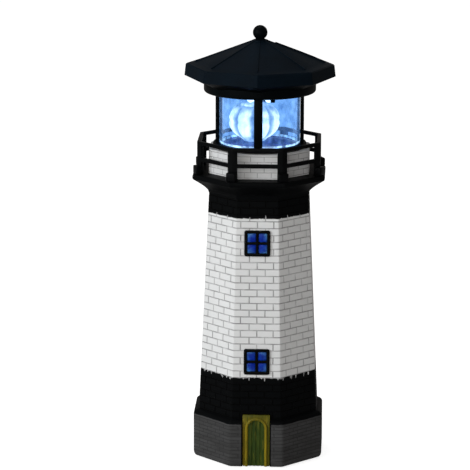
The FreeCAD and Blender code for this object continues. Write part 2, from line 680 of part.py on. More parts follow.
def roof_shell():
    """Upper half of the cap: fascia, slopes, hip beads and screw bosses."""
    outer = stack(roof_levels(0.0, 0.0), CORNER_FRONT)
    inner = stack(roof_levels(ROOF_WALL / FLAT, ROOF_WALL), CORNER_FRONT)
    shell = outer.cut(inner)
    for _, x, y in cap_bosses():
        post = disc(CAP_BOSS, INSIDE_Z, ROOF_TOP_Z, x, y).common(above_ceiling())
        shell = shell.fuse(post)
    for hip in range(SIDES):
        shell = shell.fuse(turned(roof_rib(), 360.0 * hip / SIDES))
    shell = shell.fuse(disc(ROOF_TOP_RADIUS - 0.4, ROOF_TOP_Z - 3.0, ROOF_TOP_Z + 0.4))
    shell = shell.cut(disc(FINIAL_PIN, ROOF_TOP_Z - 8, ROOF_TOP_Z + 3))
    for _, x, y in cap_bosses():
        shell = shell.cut(disc(SMALL_SCREW[0], INSIDE_Z - 1, CEILING_Z + CAP_SCREW_LENGTH, x, y))
    hole = Part.makeCylinder(LEAD_HOLE, 8.0, Vector(0, PANEL_START + PANEL_LENGTH / 2, -6.0))
    return shell.cut(placed(hole, facet_place()))


def above_ceiling():
    """Room inside the cap, up to the roof's own outline."""
    low = stack([(COLLAR_RADIUS + 8, INSIDE_Z), (COLLAR_RADIUS + 8, EAVE_Z)], CORNER_FRONT)
    return low.fuse(stack(roof_levels(0.0, 0.0), CORNER_FRONT))


def cap_screws():
    return [screw(SMALL_SCREW, x, y, CEILING_Z, CAP_SCREW_LENGTH) for _, x, y in cap_bosses()]


def finial():
    top = ROOF_TOP_Z + 0.4
    ball = Part.makeSphere(BALL_RADIUS, Vector(0, 0, ROOF_TOP_Z + BALL_LIFT))
    neck = disc(BALL_NECK, top, ROOF_TOP_Z + BALL_LIFT)
    pin = disc(FINIAL_PIN, top - FINIAL_PIN_LENGTH, top + 0.5)
    return joined([ball, neck, pin])


# Drive and light --------------------------------------------------------------------------------

def strap_hole():
    return MOTOR[0] / 2 + STRAP_THICK + STRAP_FOOT / 2


def gearbox():
    block = centred(GEARBOX[0], GEARBOX[1], INSIDE_Z, INSIDE_Z + GEARBOX[2])
    return block.cut(disc(SHAFT_RADIUS + TOUCH, INSIDE_Z - 1, INSIDE_Z + SHAFT_IN_GEARS))


def beacon_motor():
    low = INSIDE_Z + GEARBOX[2]
    can = centred(MOTOR[0], MOTOR[1], low, low + MOTOR[2])
    upright = [edge for edge in can.Edges if abs(edge.tangentAt(edge.FirstParameter).z) > 0.9]
    can = can.makeFillet(MOTOR_CORNER, upright)
    return can.fuse(disc(2.0, low + MOTOR[2] - 0.2, low + MOTOR[2] + 0.8))


def motor_strap():
    """Strap over the gearbox's sides, screwed down beside it."""
    high = INSIDE_Z + MOTOR_SCREW_LENGTH
    half = GEARBOX[0] / 2
    parts = []
    for side in (-1, 1):
        wall = box(sorted((side * (half + TOUCH), side * (half + STRAP_THICK))),
                   (-STRAP_WIDTH / 2, STRAP_WIDTH / 2), (high, INSIDE_Z + GEARBOX[2] + STRAP_THICK))
        foot = box(sorted((side * (half + TOUCH), side * (half + STRAP_THICK + STRAP_FOOT))),
                   (-STRAP_WIDTH / 2, STRAP_WIDTH / 2), (high, high + STRAP_THICK))
        parts += [wall, foot.cut(disc(SMALL_SCREW[0] + 0.2, high - 1, high + 3, side * strap_hole(), 0))]
    low = INSIDE_Z + GEARBOX[2]
    for side in (-1, 1):
        span = (half + STRAP_THICK)
        bar = box((-span, span), sorted((side * (MOTOR[1] / 2 + TOUCH), side * (MOTOR[1] / 2 + 1.5))),
                  (low + TOUCH, low + STRAP_THICK))
        parts.append(bar)
        for end in (-1, 1):
            parts.append(box(sorted((end * (half + TOUCH), end * span)),
                             sorted((0, side * (MOTOR[1] / 2 + 1.5))), (low + TOUCH, low + STRAP_THICK)))
    return joined(parts)


def motor_screws():
    seat = INSIDE_Z + MOTOR_SCREW_LENGTH + STRAP_THICK
    length = MOTOR_SCREW_LENGTH + STRAP_THICK - 0.6
    return [screw(SMALL_SCREW, side * strap_hole(), 0, seat, length, False) for side in (-1, 1)]


def led_board():
    low = CEILING_Z - LED_BOARD_THICK
    return ring(SHAFT_RADIUS + 1.2, LED_BOARD_RADIUS, low, CEILING_Z)


def leds():
    top = CEILING_Z - LED_BOARD_THICK
    lamps = []
    for _, x, y in around([90.0 + 360.0 * lamp / LED_COUNT for lamp in range(LED_COUNT)], LED_RING):
        low = top - LED_LENGTH
        barrel = disc(LED_RADIUS, low, top, x, y)
        dome = Part.makeSphere(LED_RADIUS, Vector(x, y, low))
        lamps.append(joined([barrel, dome, disc(LED_RADIUS + 0.4, top - 0.9, top, x, y)]))
    return lamps


def globe_low():
    return LENS_Z + LENS_FLOOR + BEACON_FOOT_GAP


def globe_rim():
    return CEILING_Z - LED_BOARD_THICK - LED_LENGTH - LED_RADIUS - BEACON_LAMP_GAP


def globe_half():
    """Half the globe's full height; its top is cut off at the rim."""
    return (globe_rim() - globe_low()) / (1 + BEACON_OPEN)


def globe_radius():
    return LENS_RADIUS - LENS_WALL - BEACON_SIDE_GAP - abs(BEACON_OFFSET)


def globe_outline(inset):
    """Points (across, up) of the globe's facets, from the middle of its foot to its rim."""
    across = globe_radius() - inset
    up = globe_half() - inset
    rim = math.asin(BEACON_OPEN * globe_half() / up)
    foot = math.radians(BEACON_FOOT_ANGLE)
    points = [Vector(0, 0, -up), Vector(across * math.cos(foot), 0, -up)]
    for facet in range(1, BEACON_FACETS + 1):
        angle = foot + (rim - foot) * facet / BEACON_FACETS
        points.append(Vector(across * math.cos(angle), 0, up * math.sin(angle)))
    return points


def beacon_globe():
    """Clear globe that stands to one side of its shaft and is open towards the lamps."""
    outline = globe_outline(0.0) + globe_outline(BEACON_WALL)[::-1]
    globe = Part.Face(Part.makePolygon(outline + outline[:1]))
    globe = globe.revolve(Vector(0, 0, 0), Vector(0, 0, 1), 360)
    globe.translate(Vector(BEACON_OFFSET, 0, globe_low() + globe_half()))
    globe = globe.fuse(disc(BEACON_PAD, globe_low() + BEACON_WALL / 2, pad_top()))
    return globe.cut(disc(REFLECTOR_PLUG, globe_low() - 3, pad_top() + 1))


def pad_top():
    return globe_low() + BEACON_WALL + BEACON_PAD_RISE


def beacon_reflector():
    """Mirrored cone on the shaft that throws the lamps' light sideways."""
    low = pad_top() + 0.9
    rise = globe_rim() - REFLECTOR_BELOW_RIM - low
    cone = Part.makeCone(REFLECTOR_FOOT, REFLECTOR_TOP, rise, Vector(0, 0, low))
    foot = disc(BEACON_PAD, pad_top(), low)
    plug = disc(REFLECTOR_PLUG, pad_top() - 2.4, low - 0.4)
    return joined([cone, foot, plug]).cut(disc(SHAFT_RADIUS, pad_top() + 3, low + rise + 1))


def beacon_shaft():
    return disc(SHAFT_RADIUS, pad_top() + 3, INSIDE_Z + SHAFT_IN_GEARS - 0.5)


# Battery, board and switch ----------------------------------------------------------------------

def holder_middle():
    """Distance of the battery's axis behind the motor."""
    return MOTOR[1] / 2 + HOLDER_GAP + HOLDER_WALL + CELL_RADIUS


def cell_axis_z():
    return INSIDE_Z + HOLDER_WALL + CELL_RADIUS + 0.2


def holder_half():
    return CELL_LENGTH / 2 + HOLDER_END


def battery_holder():
    """Open tray; the cell's round sides rest in its floor."""
    y = holder_middle()
    width = 2 * (CELL_RADIUS + HOLDER_WALL)
    tray = centred(2 * (holder_half() + HOLDER_WALL), width, INSIDE_Z, INSIDE_Z + HOLDER_RISE, 0.0, y)
    room = centred(2 * holder_half(), width - 2 * HOLDER_WALL + 0.4, INSIDE_Z + HOLDER_WALL,
                   INSIDE_Z + HOLDER_RISE + 1, 0.0, y)
    return tray.cut(room)


def battery_cell():
    axis = Vector(1, 0, 0)
    low = Vector(-CELL_LENGTH / 2, holder_middle(), cell_axis_z())
    can = Part.makeCylinder(CELL_RADIUS, CELL_LENGTH - 1.0, low, axis)
    nub = Part.makeCylinder(1.9, 1.0, Vector(CELL_LENGTH / 2 - 1.0, low.y, low.z), axis)
    return can.fuse(nub)


def battery_contacts():
    """Flat contact at the plus end and a sprung one at the minus end."""
    y = holder_middle()
    z = cell_axis_z()
    half = holder_half()
    plates = []
    for side in (-1, 1):
        outer = side * half
        plates.append(box(sorted((outer, outer - side * CONTACT)), (y - 4, y + 4), (z - 4, z + 4)))
    reach = half - CONTACT - CELL_LENGTH / 2
    bump = Part.makeCone(2.6, 1.6, reach, Vector(half - CONTACT, y, z), Vector(-1, 0, 0))
    coil = Part.makeCone(3.6, 2.4, reach, Vector(-half + CONTACT, y, z), Vector(1, 0, 0))
    coil = coil.cut(Part.makeCone(2.8, 1.6, reach + 0.2, Vector(-half + CONTACT - 0.1, y, z),
                                  Vector(1, 0, 0)))
    return [plates[0].fuse(coil), plates[1].fuse(bump)]


def board_middle():
    return -(MOTOR[1] / 2 + BOARD_GAP + BOARD[1] / 2)


def board_posts():
    return [(side * (BOARD[0] / 2 - 2.5), board_middle()) for side in (-1, 1)]


def control_board():
    """Circuit board with its chip, coil, capacitor and terminals."""
    low = INSIDE_Z + BOARD_LIFT
    high = low + BOARD[2]
    y = board_middle()
    parts = [centred(BOARD[0], BOARD[1], low, high, 0.0, y),
             centred(5.0, 4.0, high - 0.2, high + 1.5, -4.0, y + 1.0),
             disc(2.6, high - 0.2, high + 4.0, 4.5, y - 1.5),
             disc(2.0, high - 0.2, high + 5.0, 9.2, y + 3.0),
             centred(2.6, 9.0, high - 0.2, high + TERMINAL_RISE, -9.8, y)]
    return joined(parts)


def lamp_lead_hole():
    return 2.5, -(MOTOR[1] / 2 + 2.2)


def lead(points):
    """Round lead along straight runs joined by tangent arcs."""
    first = (points[1] - points[0]).normalize()
    last = (points[-2] - points[-1]).normalize()
    points = [points[0] + first * LEAD_GAP] + points[1:-1] + [points[-1] + last * LEAD_GAP]
    edges = []
    start = points[0]
    for before, here, after in zip(points[:-2], points[1:-1], points[2:]):
        back = (before - here).normalize()
        ahead = (after - here).normalize()
        half_turn = (math.pi - back.getAngle(ahead)) / 2
        reach = 0.45 * min((before - here).Length, (after - here).Length)
        radius = reach / math.tan(half_turn)
        middle_way = (back + ahead).normalize()
        middle = here + middle_way * (radius / math.cos(half_turn) - radius)
        edges.append(Part.makeLine(start, here + back * reach))
        edges.append(Part.Arc(here + back * reach, middle, here + ahead * reach).toShape())
        start = here + ahead * reach
    edges.append(Part.makeLine(start, points[-1]))
    section = Part.Wire(Part.makeCircle(LEAD_RADIUS, points[0], points[1] - points[0]))
    return Part.Wire(edges).makePipeShell([section], True, False)


def leads():
    """Leads inside the cap: panel, cell, motor, lamps and switch to the board."""
    pad = INSIDE_Z + BOARD_LIFT + BOARD[2]
    y = board_middle()
    end = holder_half()
    cell_y = holder_middle()
    cell_z = cell_axis_z() + 2.6
    panel = [facet_place().multVec(Vector(0, PANEL_START + PANEL_LENGTH / 2, depth))
             for depth in (0.0, -2 * LEAD_BEND)]
    block = pad + TERMINAL_RISE
    routes = [
        panel + [Vector(19.0, 1.5, pad + 10), Vector(15.5, -8.0, pad + 7.5),
                 Vector(3.0, y - 5.0, pad + 7.5), Vector(-9.8, y - 2.6, pad + 6.5),
                 Vector(-9.8, y - 2.6, block)],
        [Vector(end, cell_y, cell_z), Vector(end + LEAD_BEND, cell_y, cell_z),
         Vector(end + 1.8, 3.0, pad + 4.5), Vector(14.5, y + 5.5, pad + 4.0),
         Vector(10.8, y - 3.6, pad + 3.5), Vector(10.8, y - 3.6, pad)],
        [Vector(-end, cell_y, cell_z), Vector(-end - LEAD_BEND, cell_y, cell_z),
         Vector(-end - 1.8, 3.0, pad + 5.5), Vector(-13.5, y + 7.0, pad + 6.5),
         Vector(-9.8, y + 3.0, pad + 6.0), Vector(-9.8, y + 3.0, block)],
        [Vector(0.0, -MOTOR[1] / 2, pad + 12), Vector(0.0, -MOTOR[1] / 2 - 3.0, pad + 12),
         Vector(-0.6, y + BOARD[1] / 2 - 1.6, pad + 6), Vector(-0.6, y + BOARD[1] / 2 - 1.6, pad)],
        [Vector(*lamp_lead_hole(), CEILING_Z), Vector(*lamp_lead_hole(), pad + 1.6),
         Vector(3.2, y + BOARD[1] / 2 - 1.8, pad + 3.4),
         Vector(3.2, y + BOARD[1] / 2 - 1.8, pad)],
        [switch_top(), switch_top() + Vector(0, 0, 3.4), Vector(4.0, y - 8.0, pad + 4.4),
         Vector(0.2, y - 4.6, pad + 3.0), Vector(0.2, y - 4.6, pad)],
    ]
    return [lead(route) for route in routes]


def switch_top():
    angle = math.radians(SWITCH_AZIMUTH)
    return Vector(SWITCH_RING * math.cos(angle), SWITCH_RING * math.sin(angle),
                  INSIDE_Z + SWITCH_BODY[2])


def switch_body():
    depth = KNOB_INSIDE + SLIP
    block = centred(SWITCH_BODY[1], SWITCH_BODY[0], INSIDE_Z, INSIDE_Z + SWITCH_BODY[2],
                    SWITCH_RING, KNOB_TRAVEL / 2)
    pocket = centred(KNOB[1] + 2 * SLIP, KNOB[0] + KNOB_TRAVEL + 4 * SLIP, INSIDE_Z - 1,
                     INSIDE_Z + depth, SWITCH_RING, KNOB_TRAVEL / 2)
    return switch_turn(block.cut(pocket))


def switch_knob():
    knob = centred(KNOB[1], KNOB[0], CEILING_Z - KNOB_DROP, INSIDE_Z + KNOB_INSIDE, SWITCH_RING)
    tip = [edge for edge in knob.Edges if edge.CenterOfMass.z < CEILING_Z - KNOB_DROP + 0.01]
    return switch_turn(knob.makeChamfer(0.3, tip))


def build():
    os.makedirs("parts", exist_ok=True)
    for name, moulding in tower_mouldings():
        save(name, [moulding])
    save("base_cover", [base_cover()])
    save("base_screws", base_screws())
    save("foot_pads", foot_pads())
    save("upper_window_frame", [window_frame(UPPER_WINDOW_Z)])
    save("upper_window_glass", [window_glass(UPPER_WINDOW_Z)])
    save("lower_window_frame", [window_frame(LOWER_WINDOW_Z)])
    save("lower_window_glass", [window_glass(LOWER_WINDOW_Z)])
    save("door_surround", [door_surround()])
    save("door_leaf", [door_leaf()])
    save("watch_room", [watch_room()])
    save("gallery_railing", [gallery_railing()])
    save("seat_gasket", [seat_gasket()])
    save("lens_frame", [lens_frame()])
    save("lens_tube", [lens_tube()])
    save("lens_floor", [lens_floor()])
    save("collar_housing", [collar_housing()])
    save("roof_shell", [roof_shell()])
    save("cap_screws", cap_screws())
    save("finial", [finial()])
    save("solar_bezel", [solar_bezel()])
    save("solar_cell", [solar_cell()])
    save("gearbox", [gearbox()])
    save("beacon_motor", [beacon_motor()])
    save("motor_strap", [motor_strap()])
    save("motor_screws", motor_screws())
    save("led_board", [led_board()])
    save("leds", leds())
    save("beacon_globe", [beacon_globe()])
    save("beacon_reflector", [beacon_reflector()])
    save("beacon_shaft", [beacon_shaft()])
    save("battery_holder", [battery_holder()])
    save("battery_cell", [battery_cell()])
    save("battery_contacts", battery_contacts())
    save("control_board", [control_board()])
    save("leads", leads())
    save("switch_body", [switch_body()])
    save("switch_knob", [switch_knob()])


build()
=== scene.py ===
# %% [markdown]
# A garden lighthouse lamp.  The real object is a hollow plastic tower with moulded brickwork and
# hand-brushed paint, and a black lamp head with a clear lens and a glowing globe inside it.  The
# construction is already fixed by the frame that is loaded here, so this file only gives each
# part its finished surface.

# %% Load the frame
import math
import random

import bpy
from mathutils import Matrix, Vector


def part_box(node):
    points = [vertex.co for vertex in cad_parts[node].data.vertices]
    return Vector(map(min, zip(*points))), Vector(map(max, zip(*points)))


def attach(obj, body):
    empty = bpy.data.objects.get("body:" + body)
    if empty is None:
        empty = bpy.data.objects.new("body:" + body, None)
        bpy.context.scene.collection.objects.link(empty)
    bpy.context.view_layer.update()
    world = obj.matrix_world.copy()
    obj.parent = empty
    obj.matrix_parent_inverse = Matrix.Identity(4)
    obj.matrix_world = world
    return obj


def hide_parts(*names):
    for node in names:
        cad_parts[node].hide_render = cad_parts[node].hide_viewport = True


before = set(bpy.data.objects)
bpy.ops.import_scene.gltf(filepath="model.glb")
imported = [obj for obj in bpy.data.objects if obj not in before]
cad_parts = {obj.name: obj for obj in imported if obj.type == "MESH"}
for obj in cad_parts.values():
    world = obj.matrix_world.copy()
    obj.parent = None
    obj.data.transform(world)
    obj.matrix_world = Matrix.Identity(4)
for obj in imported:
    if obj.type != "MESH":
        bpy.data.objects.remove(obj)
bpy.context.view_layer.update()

MM = 0.001
SIDES = 8
SIDE_TURN = 360.0 / SIDES
FLAT = math.cos(math.pi / SIDES)

# %% [markdown]
# Camera.  The photograph looks slightly down at the lamp through a long lens.  Three things set
# such a view: how far away the camera stands, how much it tips down, and its focal length.  The
# camera is built from its own three directions here, because that needs no aiming constraint.

# %% Camera
CAMERA_DISTANCE = 1.617
CAMERA_HEIGHT = 0.508
CAMERA_AZIMUTH = math.radians(2.10)
CAMERA_TIP = math.radians(12.76)
CAMERA_ROLL = math.radians(0.26)
FOCAL_PIXELS = 2613.0
IMAGE_PIXELS = 470.0
AXIS_SHIFT_PIXELS = 24.28
SENSOR = 36.0


def add_camera():
    data = bpy.data.cameras.new("camera")
    camera = bpy.data.objects.new("camera", data)
    bpy.context.collection.objects.link(camera)
    around = Matrix.Rotation(CAMERA_AZIMUTH, 3, 'Z')
    forward = around @ Vector((0, math.cos(CAMERA_TIP), -math.sin(CAMERA_TIP)))
    level = around @ Vector((1, 0, 0))
    upright = level.cross(forward)
    right = level * math.cos(CAMERA_ROLL) + upright * math.sin(CAMERA_ROLL)
    up = upright * math.cos(CAMERA_ROLL) - level * math.sin(CAMERA_ROLL)
    place = around @ Vector((0, -CAMERA_DISTANCE, 0)) + Vector((0, 0, CAMERA_HEIGHT))
    turn = Matrix((right, up, -forward)).transposed().to_4x4()
    camera.matrix_world = Matrix.Translation(place) @ turn
    data.sensor_fit = 'HORIZONTAL'
    data.sensor_width = SENSOR
    data.lens = FOCAL_PIXELS / IMAGE_PIXELS * SENSOR
    data.shift_x = -AXIS_SHIFT_PIXELS / IMAGE_PIXELS
    data.clip_end = 50.0
    bpy.context.scene.camera = camera
    return camera


camera = add_camera()
print("camera at", [round(v, 3) for v in camera.location], "lens", round(camera.data.lens, 1))

# %% [markdown]
# Helpers.  Operators work on what is selected, and the loaded frame comes in selected, so every
# step starts by clearing the selection.  `pick` selects faces, edges or points by a rule on their
# place, which is the coded form of choosing them by hand.

# %% Modelling helpers
WELD = 0.000002
WALL_ANGLE = 32
ROUND_ANGLE = 35
BEAD_ANGLE = 50


def clear():
    if bpy.context.object and bpy.context.object.mode != 'OBJECT':
        bpy.ops.object.mode_set(mode='OBJECT')
    bpy.ops.object.select_all(action='DESELECT')


def only(piece):
    clear()
    piece.select_set(True)
    bpy.context.view_layer.objects.active = piece


def rename(piece, name):
    piece.name = name
    piece.data.name = name
    return piece


def settle(name):
    """Name the newest piece and move its place into its mesh."""
    piece = rename(bpy.context.object, name)
    bpy.ops.object.transform_apply(location=True, rotation=True, scale=True)
    return piece


def edit_all():
    bpy.ops.object.mode_set(mode='EDIT')
    bpy.ops.mesh.select_all(action='SELECT')


def unselect(piece, kind):
    """Leave nothing of the mesh selected, in object mode."""
    only(piece)
    bpy.ops.object.mode_set(mode='EDIT')
    bpy.ops.mesh.reveal(select=False)
    bpy.ops.mesh.select_mode(type=kind)
    bpy.ops.mesh.select_all(action='DESELECT')
    bpy.ops.object.mode_set(mode='OBJECT')


def pick(piece, kind, rule):
    """Enter edit mode with only what the rule accepts selected."""
    unselect(piece, kind)
    mesh = piece.data
    if kind == 'FACE':
        for face in mesh.polygons:
            face.select = rule(face.center, face.normal)
    elif kind == 'EDGE':
        for edge in mesh.edges:
            ends = [mesh.vertices[index].co for index in edge.vertices]
            edge.select = rule(ends[0], ends[1])
    else:
        for point in mesh.vertices:
            point.select = rule(point.co)
    bpy.ops.object.mode_set(mode='EDIT')


def finish_edit():
    bpy.ops.mesh.reveal(select=False)
    bpy.ops.mesh.select_all(action='SELECT')
    bpy.ops.mesh.remove_doubles(threshold=WELD)
    bpy.ops.mesh.normals_make_consistent(inside=False)
    bpy.ops.object.mode_set(mode='OBJECT')


def bevel_picked(piece, kind, rule, width, segments):
    """Round the picked edges, or those of the picked faces."""
    pick(piece, kind, rule)
    bpy.ops.mesh.bevel(offset=width * MM, segments=segments, affect='EDGES')
    finish_edit()


def widen(share, middle=(0, 0, 0)):
    """Resize what is selected across, but not upwards."""
    bpy.ops.transform.resize(value=(share, share, 1), center_override=middle)


def extrude(y=0.0, z=0.0):
    bpy.ops.mesh.extrude_region_move(TRANSFORM_OT_translate={"value": (0, y * MM, z * MM)})


def join(name, pieces):
    only(pieces[0])
    for piece in pieces:
        piece.select_set(True)
    bpy.ops.object.join()
    return rename(bpy.context.object, name)


def turned(degrees):
    return Matrix.Rotation(math.radians(degrees), 4, 'Z')


def ring_of(piece, count):
    """The piece and its copies, evenly turned about the tower's axis."""
    ring = [piece]
    for step in range(1, count):
        copy = piece.copy()
        copy.data = piece.data.copy()
        copy.data.transform(turned(360.0 / count * step))
        bpy.context.collection.objects.link(copy)
        ring.append(copy)
    return ring


def side_axes(degrees):
    """Outward and sideways directions of the wall that faces this way."""
    angle = math.radians(degrees)
    out = Vector((math.cos(angle), math.sin(angle), 0))
    return out, Vector((-out.y, out.x, 0))


def apply_modifier(piece, name, kind, **settings):
    only(piece)
    modifier = piece.modifiers.new(name, kind)
    for key, value in settings.items():
        setattr(modifier, key, value)
    bpy.ops.object.modifier_apply(modifier=modifier.name)


def cut_away(piece, cutter):
    apply_modifier(piece, "cut", 'BOOLEAN', operation='DIFFERENCE', object=cutter, solver='EXACT')
    bpy.data.objects.remove(cutter)


def smooth(piece, angle=40):
    only(piece)
    bpy.ops.object.shade_smooth_by_angle(angle=math.radians(angle))


def soften(piece, width, segments=3):
    """Round the edges as a mould does, then smooth the shading."""
    apply_modifier(piece, "soft edges", 'BEVEL', width=width * MM, segments=segments,
                   limit_method='ANGLE', angle_limit=math.radians(28))
    smooth(piece)


def weigh_shading(piece, angle):
    """Smooth only gentle edges, and let the large faces decide the shading of what joins them."""
    smooth(piece, angle)
    apply_modifier(piece, "weigh", 'WEIGHTED_NORMAL', mode='FACE_AREA', weight=100, keep_sharp=True)


def block(name, x, y, z):
    """Box between two limits, in millimetres, on each axis."""
    clear()
    size = [(high - low) * MM for low, high in (x, y, z)]
    middle = [(high + low) / 2 * MM for low, high in (x, y, z)]
    bpy.ops.mesh.primitive_cube_add(size=1.0, location=middle)
    bpy.context.object.scale = size
    return settle(name)


def eight_sided(name, profile, turn, closed=True):
    """Walls through (height, corner radius) levels: a ring extruded and resized level by level."""
    clear()
    foot, radius = profile[0]
    bpy.ops.mesh.primitive_circle_add(vertices=SIDES, radius=radius * MM, location=(0, 0, foot * MM),
                                      rotation=(0, 0, math.radians(turn)))
    piece = settle(name)
    edit_all()
    levels = profile + [profile[0]] if closed else profile
    for (low, inner), (high, outer) in zip(levels[:-1], levels[1:]):
        extrude(z=high - low)
        widen(outer / inner)
    finish_edit()
    return piece


def from_points(name, points, edges, faces):
    """New piece from points in millimetres, opened for editing with all of it selected."""
    clear()
    mesh = bpy.data.meshes.new(name)
    mesh.from_pydata([[value * MM for value in point] for point in points], edges, faces)
    piece = bpy.data.objects.new(name, mesh)
    bpy.context.collection.objects.link(piece)
    only(piece)
    edit_all()
    return piece


def spun(name, outline, steps=96, closed=True):
    """Round piece: an outline of (radius, height) points spun about the tower's axis."""
    count = len(outline)
    edges = [(at, at + 1) for at in range(count - 1)] + ([(count - 1, 0)] if closed else [])
    piece = from_points(name, [(radius, 0, height) for radius, height in outline], edges, [])
    bpy.ops.mesh.spin(steps=steps, angle=2 * math.pi, center=(0, 0, 0), axis=(0, 0, 1))
    finish_edit()
    return piece


def arc(middle, radius, start, end, steps):
    """Points on an arc in an outline, angles in degrees from the outward direction."""
    for step in range(steps + 1):
        angle = math.radians(start + (end - start) * step / steps)
        yield middle[0] + radius * math.cos(angle), middle[1] + radius * math.sin(angle)


def node_box(name):
    """Corners of a node at rest, in millimetres."""
    return [[value / MM for value in corner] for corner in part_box(name)]


def size_of(piece):
    return [round(value, 1) for value in piece.dimensions / MM]


print("helpers ready")

# %% [markdown]
# Node helpers.  A material is a small graph.  `node` adds one step of it and sets its values by
# socket name, so the graphs below read from top to bottom.

# %% Node helpers
def put(tree, value, socket):
    """Link a value that comes from another socket, or set a plain one."""
    if isinstance(value, bpy.types.NodeSocket):
        tree.links.new(value, socket)
    else:
        socket.default_value = value


def feed(tree, target, **values):
    """Put values into a node's sockets by name, with _ for a space."""
    for key, value in values.items():
        put(tree, value, target.inputs[key.replace('_', ' ')])
    return target


def node(tree, kind, **values):
    return feed(tree, tree.nodes.new('ShaderNode' + kind), **values)


def math_node(tree, how, *values, clamp=False):
    """One math step, or a row of them where there are more than two values."""
    total = values[0]
    for value in values[1:] or (0.0,):
        made = tree.nodes.new('ShaderNodeMath')
        made.operation = how
        made.use_clamp = clamp
        put(tree, total, made.inputs[0])
        put(tree, value, made.inputs[1])
        total = made.outputs[0]
    return total


def blend(tree, factor, first, second, how='MIX'):
    made = tree.nodes.new('ShaderNodeMix')
    made.data_type = 'RGBA'
    made.blend_type = how
    for key, kind, value in (("Factor", 'VALUE', factor), ("A", 'RGBA', first), ("B", 'RGBA', second)):
        put(tree, value, next(s for s in made.inputs if s.name == key and s.type == kind))
    return next(s for s in made.outputs if s.type == 'RGBA')


def ramp(tree, value, low, high, first=0.0, last=1.0):
    made = node(tree, 'MapRange', Value=value, From_Min=low, From_Max=high, To_Min=first, To_Max=last)
    return made.outputs["Result"]


def object_place(tree):
    return tree.nodes.new('ShaderNodeTexCoord').outputs["Object"]


def stretched(tree, z):
    """Place with its height scaled, so that a pattern runs level or upright."""
    return node(tree, 'Mapping', Vector=object_place(tree), Scale=(1, 1, z)).outputs["Vector"]


def split_place(tree):
    return node(tree, 'SeparateXYZ', Vector=object_place(tree)).outputs


def noise(tree, place, scale, detail, **more):
    return node(tree, 'TexNoise', Vector=place, Scale=scale, Detail=detail, **more).outputs["Fac"]


def attribute(tree, name):
    made = tree.nodes.new('ShaderNodeAttribute')
    made.attribute_name = name
    return made.outputs["Fac"]


def new_group(name, inputs, outputs):
    """Empty group with its sockets, the values that it is given, and its output node."""
    group = bpy.data.node_groups.new(name, 'ShaderNodeTree')
    for label, value in inputs.items():
        kind = 'NodeSocketColor' if isinstance(value, tuple) else 'NodeSocketFloat'
        group.interface.new_socket(name=label, in_out='INPUT', socket_type=kind).default_value = value
    for label, kind in outputs.items():
        group.interface.new_socket(name=label, in_out='OUTPUT', socket_type=kind)
    return group, group.nodes.new('NodeGroupInput').outputs, group.nodes.new('NodeGroupOutput')


def use_group(tree, group, **values):
    made = tree.nodes.new('ShaderNodeGroup')
    made.node_tree = group
    return feed(tree, made, **values)


def new_material(name, **values):
    """Material with its tree and its Principled shader."""
    made = bpy.data.materials.new(name)
    made.use_nodes = True
    shader = made.node_tree.nodes["Principled BSDF"]
    return made, made.node_tree, feed(made.node_tree, shader, **values)


def grey(value, tint=(1.0, 1.0, 1.0)):
    return (value * tint[0], value * tint[1], value * tint[2], 1.0)


print("node helpers ready, middle grey", grey(0.18))

# %% [markdown]
# Studio.  The photograph is a cut-out on white with soft light from the left.  A white world alone
# would give that ground but no shadow on it, so a large pale floor fills the view.  Its own colour
# is kept, and what the camera sees of it also glows, so it comes out white while the lamp's
# shadow still falls on it.  It lies a hair under the lamp's feet.

# %% Studio
AMBIENT = (0.262, 0.250, 0.240, 1)
WHITE_LIGHT = (1, 1, 1, 1)
FLOOR_SIZE = 24.0
FLOOR_GREY = (0.55, 0.55, 0.55, 1)
FLOOR_GLOW = 0.85
FLOOR_LEVEL = -0.0002
LIGHT_AIM = Vector((0, 0, 0.13))
LIGHTS = (("key_left", (-1.45, -1.05, 0.75), (0.9, 1.2), 18.6, (0.955, 0.985, 1.0)),
          ("fill_front", (-0.45, -1.9, 0.6), (1.0, 0.8), 8.4, (1.0, 0.985, 0.96)),
          ("top_soft", (-0.3, 0.3, 1.7), (1.0, 1.0), 7.0, (1, 1, 1)))


def add_area(name, place, size, power, colour):
    data = bpy.data.lights.new(name, 'AREA')
    data.shape = 'RECTANGLE'
    data.size, data.size_y = size
    data.energy = power
    data.color = colour
    light = bpy.data.objects.new(name, data)
    bpy.context.collection.objects.link(light)
    light.location = place
    light.rotation_euler = (LIGHT_AIM - Vector(place)).to_track_quat('-Z', 'Y').to_euler()


def set_world():
    world = bpy.data.worlds.new("studio")
    bpy.context.scene.world = world
    world.use_nodes = True
    tree = world.node_tree
    seen = node(tree, 'LightPath').outputs["Is Camera Ray"]
    feed(tree, tree.nodes["Background"], Color=blend(tree, seen, AMBIENT, WHITE_LIGHT))


def add_floor():
    clear()
    bpy.ops.mesh.primitive_plane_add(size=FLOOR_SIZE, location=(0, 0, FLOOR_LEVEL))
    floor = bpy.context.object
    floor.name = "studio_floor"
    paint, tree, shader = new_material("studio_floor", Base_Color=FLOOR_GREY, Roughness=0.9,
                                       Specular_IOR_Level=0.0, Emission_Color=WHITE_LIGHT)
    path = node(tree, 'LightPath').outputs
    seen = math_node(tree, 'ADD', path["Is Camera Ray"], path["Is Transmission Ray"], clamp=True)
    feed(tree, shader, Emission_Strength=math_node(tree, 'MULTIPLY', seen, FLOOR_GLOW))
    floor.data.materials.append(paint)


set_world()
add_floor()
for light in LIGHTS:
    add_area(*light)
bpy.context.scene.view_settings.view_transform = 'Standard'
print("studio set with", len(LIGHTS), "lights")

# %% [markdown]
# Shared effect: a brushed or moulded coat.  Real paint and moulded plastic never have one flat
# colour: it drifts over a few centimetres, its gloss drifts too, and there is a fine orange-peel
# grain.  Each material could carry its own nodes for that, but one node group does all three, and
# every material only gives it its own values.

